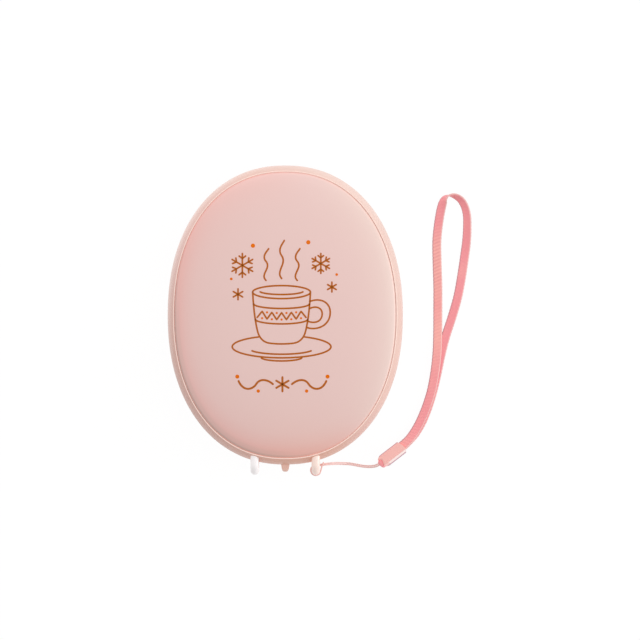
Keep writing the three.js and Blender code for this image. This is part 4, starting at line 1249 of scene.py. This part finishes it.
@dataclass
class Controls:
    """The power button, the indicator lenses and the charging port."""

    knob: Rows = (
        (0, -65.3), (0.55, -65.27), (0.9, -65.12), (1.15, -64.85), (1.32, -64.5), (1.48, -64.0),
        (1.6, -63.4), (1.7, -62.8), (1.77, -62.3), (1.8, -61.7), (1.8, -61.0), (1.8, -59.4), (2.6, -59.4),
        (2.6, -58.6), (1.3, -58.6), (1.3, -57.6), (0, -57.6),
    )
    lens_front: float = -58.5
    lens_size: Size = (5.0, 2.9, 0.3)
    pins: tuple[float, float] = (5.2, 8.2)
    pin_radius: float = 0.8
    port_front: float = -61.16
    port_rear: float = -53.76
    port_size: Size = (9.0, 3.2, 1.2)
    tongue_size: Size = (6.6, 0.7, 0.3)
    root_size: Size = (6.5, 1.9, 0.5)
    root_depth: float = 1.6
    contact_size: Size = (0.26, 0.06, 0.02)
    contact_count: int = 12
    contact_pitch: float = 0.5
    contact_rise: float = 0.34

    def button(self) -> None:
        """Build the tapered button with its flange."""
        knob = Skin().cover(turned_rows(self.knob, 0, MID_Z, 56))
        settle(knob.make("button_knob", BUTTON, crease=50), "button", "button", "power_button")

    def lenses(self) -> None:
        """Build each lens: a bar behind the wall with two rounded pins."""
        front, root, r = self.lens_front, self.lens_front + 0.5, self.pin_radius
        stations = ((front, 0.2), (front + 0.1, 0.0), (front + 1, 0.0))
        for name, side in (("left", -1), ("right", 1)):
            middle = side * sum(self.pins) / 2
            lens = Skin().cover(rounded_rows(self.lens_size, stations, middle, MID_Z), caps=True)
            for x in self.pins:
                end = OVAL.wall_y(x) + 0.1
                tip = ((0, end), (r - 0.25, end + 0.02), (r - 0.08, end + 0.1), (r, end + 0.25))
                lens.cover(turned_rows([*tip, (r, root), (0, root)], side * x, MID_Z, 32))
            settle(lens.make(f"lens_{name}", LENS), "case", "lens", f"indicator_lens_{name}")

    def port(self) -> None:
        """Build the port's shell with its rolled mouth, its tongue and its contacts."""
        front, rear = self.port_front, self.port_rear
        stations = (
            (rear, 0.0), (front + 0.12, 0.0), (front + 0.03, 0.08), (front, 0.24), (front, 0.44),
            (front + 0.05, 0.62), (front + 0.15, 0.7), (rear - 0.35, 0.7),
        )
        shell = Skin().cover(rounded_rows(self.port_size, stations, steps=10, follow=0.5), caps=True)
        settle(shell.make("port_shell", STEEL, crease=50), "case", "steel", "charge_port_shell")
        tongue = Skin()
        tip, end = front + 0.6, rear - 0.65
        for size, start in ((self.tongue_size, tip), (self.root_size, end - self.root_depth)):
            tongue.cover(rounded_rows(size, ((start, 0.12), (start + 0.1, 0.0), (end, 0.0))), caps=True)
        settle(tongue.make("port_tongue", BLACK), "case", "black_plastic", "charge_port_tongue")
        contacts = Skin()
        stations = ((tip + 0.35, 0.0), (tip + 2.9, 0.0))
        for k in range(self.contact_count):
            x = (k - (self.contact_count - 1) / 2) * self.contact_pitch
            for z in (PORT_Z - self.contact_rise, PORT_Z + self.contact_rise):
                contacts.cover(rounded_rows(self.contact_size, stations, x, z, 3), caps=True)
        settle(contacts.make("port_contacts", CONTACT), "case", "steel")

    def build(self) -> None:
        """Build the button, the lenses and the port."""
        self.button()
        self.lenses()
        self.port()


def arc(x: float, y: float, wide: float, high: float, start: float, end: float) -> Points:
    """Give an ellipse's arc between two turns in degrees.

    Args:
        x: its middle sideways.
        y: its middle lengthways.
        wide: the ellipse's half width.
        high: the ellipse's half height.
        start: its first turn.
        end: its last turn.

    Returns:
        The points along it.
    """
    count = max(6, round(abs(end - start) * max(wide, high) / 28))
    turns = np.radians(np.linspace(start, end, count + 1))
    return np.column_stack([x + wide * np.cos(turns), y + high * np.sin(turns)])


def chain(*knots: tuple[float, float]) -> Points:
    """Give cubic curves that share their ends: a knot, two handles, a knot and so on.

    Args:
        knots: the knots and handles.

    Returns:
        The points along the curves.
    """
    controls = np.array(knots)
    share = np.linspace(0, 1, 21)[:, None]
    rest = 1 - share
    pieces = [controls[:1]]
    for i in range(0, len(controls) - 3, 3):
        a, b, c, d = controls[i:i + 4]
        curve = a * rest**3 + 3 * b * share * rest**2 + 3 * c * share**2 * rest + d * share**3
        pieces.append(curve[1:])
    return np.vstack(pieces)


def line(*knots: tuple[float, float]) -> Points:
    """Give straight runs between points, finely stepped.

    Args:
        knots: the points where the runs meet.

    Returns:
        The points along the runs.
    """
    points = np.array(knots)
    pieces = [points[:1]]
    for start, end in zip(points, points[1:]):
        count = max(2, math.ceil(math.dist(start, end) / 0.5))
        pieces.append(start + (end - start) * np.linspace(0, 1, count + 1)[1:, None])
    return np.vstack(pieces)


@dataclass
class PrintedFace:
    """The line print on the front cover: a steaming mug on its saucer among snow crystals."""

    casing: Casing
    line_width: float = 0.8
    bold_width: float = 0.95
    raise_by: float = 0.035
    sunk: float = 0.05
    flat_share: float = 0.86
    end_turns: tuple[float, ...] = (75.0, 50.0, 25.0)
    crystals: Rows = ((-17.8, 20.6, 4.9), (14.8, 21.4, 4.1), (-19.6, 8.6, 2.2), (19.4, 11.6, 2.0))
    twigs_from: float = 3.0
    twig_start: float = 0.58
    twig_length: float = 0.34
    twig_lean: float = 52.0
    scroll_middle: tuple[float, float] = (-1.15, -28.8)
    scroll_crystal: float = 2.9
    mug_x: float = -1.5
    band_half: float = 11.4
    band_sag: float = 1.9
    zigzag: tuple[float, float] = (1.4, 1.5)
    knitted: tuple[float, float, float] = (1.35, 1.35, 0.5)
    dots: Rows = (
        (-13.4, 28.8, 0.95), (9.6, 30.2, 0.95), (-22.4, 15.0, 0.6), (21.4, 16.8, 0.6),
        (-11.2, -31.6, 0.75), (8.9, -31.6, 0.75), (-19.9, -25.6, 0.9), (17.6, -25.6, 0.9),
    )
    dot_sides: int = 20
    dot_flat: float = 0.9

    def crystal(self, x: float, y: float, radius: float) -> list[Points]:
        """Give the strokes of a six-armed snow crystal, whose arms have twigs where it is large.

        Args:
            x: its middle sideways.
            y: its middle lengthways.
            radius: the length of its arms.

        Returns:
            The strokes.
        """
        strokes = []
        middle = np.array([x, y])
        for turn in np.radians(np.arange(90, 450, 60)):
            way = np.array([math.cos(turn), math.sin(turn)])
            strokes.append(line(middle, middle + way * radius))
            if radius < self.twigs_from:
                continue
            knee = middle + way * radius * self.twig_start
            leans = (turn + side * math.radians(self.twig_lean) for side in (-1, 1))
            tips = [knee + radius * self.twig_length * np.array([math.cos(t), math.sin(t)]) for t in leans]
            strokes.append(line(tips[0], knee, tips[1]))
        return strokes

    def sag(self, x: Points) -> Points:
        """Give how far the mug's bands hang down at an x."""
        return self.band_sag * np.sqrt(np.clip(1 - ((x - self.mug_x) / self.band_half) ** 2, 0, 1))

    def mug(self) -> list[Points]:
        """Give the strokes of the mug, its handle, its knitted band and the saucer.

        Returns:
            The strokes.
        """
        left = (
            (-13.5, 9.5), (-13.2, 3.5), (-12.6, -2.0), (-11.6, -6.2), (-10.9, -9.6), (-9.0, -11.6),
            (-5.8, -11.8), (-3.0, -12.1),
        )
        right = ((2 * self.mug_x - x, y) for x, y in reversed(left))
        outer_handle = (
            (10.2, 5.6), (14.5, 7.4), (19.5, 5.4), (18.6, -0.2), (17.9, -4.6), (13.0, -6.6), (8.9, -5.2),
        )
        inner_handle = (
            (10.0, 2.6), (12.6, 4.0), (15.9, 3.2), (15.3, -0.3), (14.8, -3.0), (12.0, -3.6), (9.4, -2.6),
        )
        arcs = (
            (9.5, 12.0, 2.7, 0, 360), (10.0, 9.2, 1.5, 196, 344), (4.6, 11.55, self.band_sag, 180, 360),
            (-1.8, 10.85, self.band_sag, 180, 360), (-13.2, 20.5, 4.6, 118, 422),
            (-13.9, 13.5, 2.4, 205, 335), (-17.6, 8.5, 1.5, 190, 350),
        )
        band_x = np.linspace(-11.6, 8.6, 11)
        middle, swing = self.zigzag
        zigzag = middle - self.sag(band_x) + np.where(np.arange(11) % 2 == 0, -swing, swing)
        curves = [chain(*left, *right), chain(*outer_handle), chain(*inner_handle)]
        return [*curves, line(*zip(band_x, zigzag)), *(arc(self.mug_x, *shape) for shape in arcs)]

    def steam(self) -> list[Points]:
        """Give the three strokes of steam over the mug."""
        side = chain((0, 0), (-2.6, 2.5), (2.4, 5.1), (0, 7.9), (-1.8, 10.1), (0.4, 11.9), (1.1, 13.1))
        return [side + (-8.0, 14.4), side * (1.0, 1.2) + (-1.5, 15.2), side + (5.0, 14.4)]

    def flourish(self) -> list[Points]:
        """Give the mirrored scroll under the mug.

        Returns:
            Its two strokes.
        """
        scroll = chain(
            (-18.2, 1.3), (-16.4, -2.9), (-12.6, -2.6), (-10.8, 0.2), (-9.4, 2.4), (-6.4, 2.2), (-4.0, 0.1),
        )
        return [scroll + self.scroll_middle, scroll * (-1, 1) + self.scroll_middle]

    def laid(self, flat: Points, rise: float | Points) -> Points:
        """Lay places, as seen from above, a little over the cover."""
        return np.column_stack([flat, self.casing.face_z(flat[:, 0], flat[:, 1]) + rise])

    def ribbon(self, skin: Skin, path: Points, width: float) -> None:
        """Lay one stroke on the cover as a thin raised ribbon with rounded ends.

        Args:
            skin: the mesh that it joins.
            path: its middle line, seen from above.
            width: its width.
        """
        closed = math.dist(path[0], path[-1]) < 0.01
        middle = path[:-1] if closed else path
        half = np.full(len(middle), width / 2)
        if closed:
            way = unit(np.roll(middle, -1, axis=0) - np.roll(middle, 1, axis=0))
        else:
            way = unit(np.gradient(middle, axis=0))
            turns = np.radians(self.end_turns)
            reach, narrow = np.sin(turns) * width / 2, np.cos(turns) * width / 2
            first = [middle[0] - way[0] * r for r in reach]
            last = [middle[-1] + way[-1] * r for r in reach[::-1]]
            middle = np.vstack([first, middle, last])
            way = np.vstack([[way[0]] * 3, way, [way[-1]] * 3])
            half = np.concatenate([narrow, half, narrow[::-1]])
        across = np.column_stack([-way[:, 1], way[:, 0]]) * half[:, None]
        places = (-1, -self.flat_share, self.flat_share, 1)
        rises = np.array([-self.sunk, self.raise_by, self.raise_by, -self.sunk])
        rows = [self.laid(point + np.outer(places, step), rises) for point, step in zip(middle, across)]
        skin.cover(rows, wrap=closed, caps=not closed)

    def dot(self, skin: Skin, x: float, y: float, radius: float) -> None:
        """Lay a solid dot on the cover.

        Args:
            skin: the mesh that it joins.
            x: its middle sideways.
            y: its middle lengthways.
            radius: its radius.
        """
        rows = [self.laid(np.array([[x, y]]), self.raise_by)]
        for share, rise in ((self.dot_flat, self.raise_by), (1.0, -self.sunk)):
            rows.append(self.laid(ring(radius * share, self.dot_sides) + (x, y), rise))
        skin.cover(rows)

    def build(self) -> None:
        """Build the print as two pieces, its lines and its solid parts."""
        thin = self.mug() + self.steam()
        for place in self.crystals:
            thin += self.crystal(*place)
        bold = self.flourish() + self.crystal(*self.scroll_middle, self.scroll_crystal)
        lines = Skin()
        for strokes, width in ((thin, self.line_width), (bold, self.bold_width)):
            for stroke in strokes:
                self.ribbon(lines, stroke, width)
        settle(lines.make("print_lines", INK), "case", "cover")
        middle, swing, radius = self.knitted
        knitted = [
            (x, middle - self.sag(x) + side * swing, radius)
            for x, side in zip(np.linspace(-9.58, 6.58, 9), (-1, 1) * 5)
        ]
        solids = Skin()
        for place in (*self.dots, *knitted):
            self.dot(solids, *place)
        settle(solids.make("print_solids", INK_FILL), "case", "cover")


@dataclass
class Lanyard:
    """The hitched cord, the sleeve with its end plug, and the woven strap."""

    cord_radius: float = 0.29
    cord_sides: int = 12
    cord_spacing: float = 0.16
    braid_strands: int = 3
    braid_pitch: float = 1.3
    braid_low: float = 0.93
    braid_rise: float = 0.09
    strap_width: float = 3.75
    strap_thickness: float = 0.86
    strap_steps: int = 11
    strap_spacing: float = 0.14
    strap_bunch: float = 0.9
    strap_flat: float = 0.72
    strap_edge: float = 0.28
    scallop: float = 0.018
    rib_pitch: float = 1.45
    rib_depth: float = 0.09
    rib_lean: float = 0.55
    rib_places: Table = ((40, 70, 76, 90, 98, 108), (0.35, 0.5, 1, 1, 0.5, 0.35))
    dye_places: Table = (
        (0, 8, 14, 27, 36, 56, 66, 80, 93, 99, 140, 149, 156),
        (0.3, 0.6, 1, 1, 0.5, 0.15, 0.5, 0, 0.25, 1, 1, 0.75, 1),
    )
    sleeve_start: tuple[float, float] = (40.5, -61.0)
    sleeve_turn: float = 37.7
    sleeve_left: float = 2.52
    sleeve_edge: float = -2.0
    sleeve_outer: float = -3.32
    sleeve_top: float = 4.05
    sleeve_base: float = 0.05
    sleeve_steps: tuple[float, ...] = (1.7, 1.45, 1.25, 1.1, 0.8, 0.26, -0.5, -1.2)
    sleeve_mouth: Table = (
        (-3.32, -2.95, -2.5, -2.2, -1.2, -0.5, 0.26, 0.8, 1.1, 1.25, 1.45, 1.7, 1.9, 2.2, 2.47, 2.52),
        (1.2, 0.2, -0.45, -0.7, -0.35, -0.08, 0.16, -0.05, -0.5, -0.9, -1.22, -1.05, -0.75, -0.2, 0.4, 0.8),
    )
    sleeve_end: Table = ((-3.18, -2.2, 0.0, 1.45, 2.52), (10.0, 11.05, 10.8, 10.2, 9.7))
    sleeve_stations: Rows = ((0, 0.3), (0.012, 0.08), (0.03, 0), (0.1, 0))
    # Faces of the sleeve's section that take painted shade along the underside, and the painted highlight on
    # the lip.
    shade_line_faces: tuple[int, ...] = (1, 15, 16, 17)
    highlight_faces: tuple[int, ...] = (13, 14)
    plug_corner: float = 0.35
    plug_stations: Rows = (
        (0.4, -2.4, 1.5, 0.5, 3.2), (-0.3, -2.68, 1.5, 0.35, 3.45), (-0.8, -2.7, 1.35, 0.35, 3.5),
        (-1.2, -2.56, 1.15, 0.4, 3.45), (-1.5, -2.25, 0.95, 0.5, 3.3), (-1.75, -1.8, 0.7, 0.7, 3.1),
        (-1.92, -1.2, 0.35, 1.0, 2.8), (-2.0, -0.75, -0.1, 1.4, 2.4),
    )
    cord_knots: Rows = (
        (40.0, -61.6, 2.0), (38.9, -62.1, 2.12), (37.6, -62.7, 1.3), (35.8, -63.0, 0.5),
        (32.9, -62.9, 0.34), (27.0, -61.9, 0.42), (24.6, -61.75, 1.0), (22.0, -61.65, 3.6),
        (19.3, -61.75, 8.0), (16.9, -61.95, 11.3), (14.9, -62.3, 12.35), (12.7, -62.6, 12.75),
        (11.1, -63.3, 13.0), (10.6, -64.75, 13.1), (11.2, -66.25, 13.1), (12.7, -66.88, 13.1),
        (14.2, -66.25, 13.15), (14.85, -64.7, 13.4), (15.2, -63.3, 13.6), (15.7, -62.2, 13.1),
        (15.9, -61.55, 12.0), (15.7, -62.2, 10.9), (15.2, -63.3, 10.5), (14.85, -64.7, 10.8),
        (14.2, -66.25, 11.05), (12.7, -66.88, 11.1), (11.2, -66.25, 11.15), (10.6, -64.75, 11.3),
        (11.1, -63.3, 11.5), (12.7, -62.65, 11.75), (14.9, -62.75, 11.6), (16.9, -62.5, 10.7),
        (19.3, -62.35, 7.4), (22.0, -62.3, 3.1), (24.6, -62.4, 0.8), (27.0, -62.55, 0.4),
        (32.9, -63.55, 0.34), (35.9, -63.65, 0.5), (38.0, -63.3, 1.3), (39.3, -62.6, 2.12),
        (40.4, -62.1, 2.0),
    )
    strap_knots: Rows = (
        (46.9, -56.1, 2.5, 0), (48.85, -54.55, 2.6, 0), (51.95, -51.6, 2.3, 0), (55.1, -46.9, 1.75, 0),
        (57.6, -41.7, 1.56, 0), (59.6, -36.4, 1.56, 0), (61.1, -31.25, 1.56, 0), (62.6, -22.9, 1.56, 0),
        (63.4, -15, 1.55, 0), (63.65, -7, 1.1, 0), (63.7, 1, 0.52, 0), (63.7, 12, 0.5, 0),
        (63.4, 22, 0.5, 0), (63.3, 31, 0.5, 0), (64.05, 38.4, 0.56, 2), (65.1, 44.4, 0.9, 9),
        (65.85, 47.0, 1.35, 26), (66.9, 49.0, 1.95, 60), (68.4, 49.95, 2.05, 92), (70.7, 49.75, 1.95, 124),
        (73.1, 48.3, 1.7, 140), (74.8, 45.7, 1.55, 147), (75.8, 42.0, 1.42, 151), (76.0, 37.2, 1.24, 156),
        (75.7, 30.8, 0.98, 166), (74.9, 24.6, 0.64, 176), (73.7, 16.5, 0.5, 180), (72.05, 7.6, 0.5, 180),
        (69.75, -0.5, 0.5, 180), (66.95, -9.2, 0.5, 180), (65.1, -16.4, 0.5, 180), (63.5, -24, 0.5, 180),
        (61.65, -31.8, 0.5, 180), (59.55, -38.6, 0.5, 180), (57.15, -44.5, 0.58, 180),
        (54.2, -49.5, 0.95, 180), (51.65, -52.4, 1.3, 180), (49.1, -54.85, 1.5, 180),
        (47.1, -56.4, 1.5, 180),
    )

    def cord(self) -> tuple[Piece, Route]:
        """Build the thin cord with its braid's helical ridges.

        Returns:
            The cord and its route.
        """
        route = Route(self.cord_knots, self.cord_spacing)
        turns = np.arange(self.cord_sides) * math.tau / self.cord_sides
        skin, rows, marks = Skin(), [], []
        for point, right, over, along in zip(route.points, *route.frames(), route.along):
            wound = along * math.tau / self.braid_pitch
            strands = [0.5 + 0.5 * np.cos(self.braid_strands * turns + side * wound) for side in (-1, 1)]
            radius = self.cord_radius * (self.braid_low + self.braid_rise * np.maximum(*strands))
            sideways, upward = np.outer(radius * np.cos(turns), right), np.outer(radius * np.sin(turns), over)
            rows.append(point + sideways + upward)
            marks.append(np.full(self.cord_sides, along))
        across = np.sin(self.braid_strands * turns) * self.cord_radius
        skin.cover(rows, caps=True).note("Along", marks).note("Across", [across] * len(rows))
        skin.note("Ribbed", [np.ones(self.cord_sides)] * len(rows))
        return skin.make("lanyard_cord_braid", CORD, crease=80), route

    def strap(self) -> tuple[Piece, Route]:
        """Build the strap: a flat band with woven ribs, swept and turned along its route.

        Returns:
            The strap and its route.
        """
        route = Route(self.strap_knots, self.strap_spacing)
        half, thick = self.strap_width / 2, self.strap_thickness / 2
        upper = np.linspace(-1, 1, self.strap_steps)
        wide = np.concatenate([upper, upper[::-1]])
        face = np.repeat([1.0, -1.0], self.strap_steps)
        across = np.sign(wide) * np.abs(wide) ** self.strap_bunch * half
        outer = np.clip((np.abs(wide) - self.strap_flat) / (1 - self.strap_flat), 0, 1)
        round_off = np.sqrt(1 - outer**2) * (1 - self.strap_edge) + self.strap_edge
        up = np.array([0.0, 0.0, 1.0])
        skin, rows, along_marks = Skin(), [], []
        for point, forward, along, tilt in zip(route.points, route.forward, route.along, route.samples[:, 3]):
            lean = math.radians(tilt)
            width_way = unit(np.cross(forward, up)) * math.cos(lean) + up * math.sin(lean)
            width_way = unit(width_way - forward * width_way.dot(forward))
            face_way = np.cross(width_way, forward)
            phase = math.tau * (along / self.rib_pitch - self.rib_lean * wide)
            rib = self.rib_depth * np.interp(along, *self.rib_places) * (0.5 + 0.5 * np.cos(phase))
            scallop = 1 + self.scallop * math.cos(math.tau * along / self.rib_pitch)
            height = face * (thick - self.rib_depth + rib) * round_off
            rows.append(point + np.outer(across * scallop, width_way) + np.outer(height, face_way))
            along_marks.append(np.full(len(wide), along))
        skin.cover(rows, caps=True).note("Along", along_marks).note("Across", [across] * len(rows))
        skin.note("Ribbed", (np.interp(marks, *self.rib_places) for marks in along_marks))
        skin.note("Dye", (np.interp(marks, *self.dye_places) for marks in along_marks))
        return skin.make("lanyard_strap_webbing", STRAP, crease=70), route

    def sleeve_section(self, drop: float) -> Points:
        """Give the sleeve's section as (across, height) points, its top drawn down by a drop.

        Args:
            drop: how far the top is drawn down.

        Returns:
            The section's points.
        """
        left, edge, outer = self.sleeve_left, self.sleeve_edge, self.sleeve_outer
        top, base = self.sleeve_top - drop, self.sleeve_base
        over = [
            (left, top - 0.7), (left - 0.05, top - 0.35), (left - 0.3, top - 0.05), (left - 0.62, top),
            *((across, top) for across in self.sleeve_steps), (edge + 0.25, top), (edge, top - 0.12),
            (edge - 0.12, top - 0.5), (outer + 0.42, 1.25), (outer + 0.05, 0.8), (outer, 0.4),
        ]
        under = [
            (left, 0.6), (left - 0.05, 0.35), (left - 0.25, 0.12), (left - 0.62, base),
            *((across, base) for across in self.sleeve_steps), (edge + 0.25, base), (edge, base),
            (edge - 0.12, base), (outer + 0.5, base), (outer + 0.25, 0.08), (outer + 0.1, 0.15),
        ]
        return np.array([*over, *reversed(under)])

    def sleeve(self) -> tuple[Piece, Piece]:
        """Build the sleeve, with its flared lower lip and rounded end, and the coral plug. The lip has a
        painted highlight and the underside a painted shade line.

        Returns:
            The sleeve and the plug.
        """
        turn = math.radians(self.sleeve_turn)
        forward = np.array([math.cos(turn), math.sin(turn), 0.0])
        across = np.array([-math.sin(turn), math.cos(turn), 0.0])
        start = np.array([*self.sleeve_start, 0.0])
        rows = []
        for share, drop in (*self.sleeve_stations, *((s, 0) for s in np.linspace(0.2, 1, 9))):
            wide, height = self.sleeve_section(drop).T
            mouth, end = np.interp(wide, *self.sleeve_mouth), np.interp(wide, *self.sleeve_end)
            row = start + np.outer((1 - share) * mouth + share * end, forward) + np.outer(wide, across)
            rows.append(np.column_stack([row[:, :2], height]))
        sleeve = Skin().cover(rows, caps=True, zipped=True)
        count = len(rows[0])
        # Slot 1 holds the lip's painted highlight, slot 2 the underside's painted shade.
        lip, underside = 1, 2
        for index in range((len(rows) - 1) * count):
            station, place = divmod(index, count)
            if place in self.shade_line_faces:
                sleeve.marks[index] = underside
            elif place in self.highlight_faces and station >= len(self.sleeve_stations):
                sleeve.marks[index] = lip
        body = sleeve.make("lanyard_sleeve_shell", SLEEVE, SLEEVE_HIGHLIGHT, SLEEVE_SHADE_LINE, crease=45)
        plug_rows = []
        for along, low, high, base, top in self.plug_stations:
            flat = rounded_ring(high - low, top - base, min(high - low, top - base) * self.plug_corner, 8)
            middle = start + forward * along + across * (low + high) / 2 + (0, 0, (base + top) / 2)
            plug_rows.append(np.array([middle + across * v + (0, 0, z) for v, z in flat]))
        plug = Skin().cover(plug_rows, caps=True).make("lanyard_end_plug", PLUG, crease=60)
        return body, plug

    def build(self) -> None:
        cord, cord_route = self.cord()
        strap, strap_route = self.strap()
        sleeve, plug = self.sleeve()
        for piece, name in ((cord, "cord"), (strap, "strap"), (sleeve, "sleeve"), (plug, "plug")):
            settle(piece, "case", f"lanyard_{name}", f"lanyard_{name}")
        cord_route.metres()
        strap_route.metres()


@dataclass(frozen=True)
class Lamp:
    """A square soft lamp that faces the warmer. Its share is the light it gives a surface square to it."""

    name: str
    azimuth: float
    elevation: float
    distance: float
    size: float
    share: float
    shadow: bool = True

    def hang(self) -> None:
        """Hang the lamp in the scene."""
        data = bpy.data.lights.new(self.name, "AREA")
        data.shape, data.size = "SQUARE", self.size
        data.energy = self.share * (math.pi * self.distance) ** 2
        data.use_shadow = self.shadow
        turn, rise = math.radians(self.azimuth), math.radians(self.elevation)
        away = Vector((math.cos(turn) * math.cos(rise), math.sin(turn) * math.cos(rise), math.sin(rise)))
        lamp = bpy.data.objects.new(self.name, data)
        lamp.location = away * self.distance
        lamp.rotation_euler = away.to_track_quat("Z", "Y").to_euler()
        bpy.context.scene.collection.objects.link(lamp)


@dataclass
class Studio:
    """The camera over the warmer, the pale floor and the soft lamps."""

    aim: tuple[float, float] = (14.458, -2.083)
    height: float = 6000.0
    view_width: float = 266.667
    view_plane: float = 18.0
    fill: float = 0.72
    floor_glow: float = 0.935
    floor_light: float = 0.08
    floor_half: float = 1500.0
    floor_z: float = -0.02
    floor_tone: float = 0.82
    sensor: float = 36.0
    far: float = 100.0
    lamps: tuple[Lamp, ...] = (
        Lamp("upper_left", 110.0, 30.0, 1.3, 0.7, 0.34, shadow=False),
        Lamp("right", 0.0, 15.0, 1.2, 0.7, 0.4),
    )

    def camera(self) -> None:
        """Place the camera straight over the object, with the button's end at the bottom of the picture."""
        data = bpy.data.cameras.new("camera")
        data.sensor_width = self.sensor
        data.lens = self.sensor * (self.height - self.view_plane) / self.view_width
        data.clip_end = self.far
        camera = bpy.data.objects.new("camera", data)
        camera.location = (self.aim[0] * MM, self.aim[1] * MM, self.height * MM)
        bpy.context.scene.collection.objects.link(camera)
        bpy.context.scene.camera = camera

    def seen(self, graph: Graph) -> Socket:
        """Give 1 for rays that show the background: from the camera, a mirror or clear plastic.

        Args:
            graph: the nodes of the floor or the world.

        Returns:
            The value.
        """
        path = graph.add("LightPath")
        mirrored = graph.math("MAXIMUM", path.outputs["Is Glossy Ray"], path.outputs["Is Transmission Ray"])
        return graph.math("MAXIMUM", path.outputs["Is Camera Ray"], mirrored)

    def floor(self) -> None:
        """Lay the pale floor, which shows white but keeps the object's shadow."""
        ends = (-self.floor_half, self.floor_half)
        rows = [np.array([[x, y, self.floor_z] for x in ends]) for y in ends]
        floor = Skin().cover(rows, closed=False).make("studio_floor")
        material = bpy.data.materials.new("pale floor")
        material.use_nodes = True
        graph = Graph(material.node_tree)
        material.node_tree.nodes.clear()
        glow = graph.add("Emission", {"Color": (1, 1, 1, 1), "Strength": self.floor_glow})
        shade = graph.add("BsdfDiffuse", {"Color": (self.floor_light,) * 3 + (1,)})
        shown = graph.add("AddShader", {0: glow.outputs[0], 1: shade.outputs[0]})
        real = graph.add("BsdfDiffuse", {"Color": (self.floor_tone,) * 3 + (1,)})
        mixed = graph.add("MixShader", {0: self.seen(graph), 1: real.outputs[0], 2: shown.outputs[0]})
        graph.add("OutputMaterial", {"Surface": mixed.outputs[0]})
        floor.data.materials.append(material)

    def world(self) -> None:
        """Fill the room with soft white light that shows as white."""
        world = bpy.data.worlds.new("studio")
        world.use_nodes = True
        graph = Graph(world.node_tree)
        world.node_tree.nodes.clear()
        soft = graph.add("Background", {"Color": (1, 1, 1, 1), "Strength": self.fill})
        white = graph.add("Background", {"Color": (1, 1, 1, 1), "Strength": 1.0})
        mixed = graph.add("MixShader", {0: self.seen(graph), 1: soft.outputs[0], 2: white.outputs[0]})
        graph.add("OutputWorld", {"Surface": mixed.outputs[0]})
        bpy.context.scene.world = world

    def build(self) -> None:
        """Set up the camera, the world, the floor and the lamps."""
        self.camera()
        self.world()
        self.floor()
        for lamp in self.lamps:
            lamp.hang()
        bpy.context.scene.view_settings.view_transform = "Standard"


def dress_cad_nodes() -> None:
    """Give each CAD node that still shows the finish of its material slot."""
    for part in frame["record"]["subparts"]:
        finish = FINISH_OF_SLOT.get(part["material_slot"])
        if finish is None:
            continue
        node = frame["nodes"][part["node"]]
        node.data.materials.clear()
        node.data.materials.append(finish.material())
        LOG.info("%s: %s", part["node"], finish.title)


def main() -> None:
    """Build the camera and the cords first, then the casing and all that it carries."""
    logging.basicConfig(level=logging.INFO, format="%(name)s: %(message)s")
    Studio().build()
    Lanyard().build()
    casing = Casing()
    casing.build()
    Feet().build(casing)
    Controls().build()
    PrintedFace(casing).build()
    dress_cad_nodes()


if __name__ == "__main__":
    main()
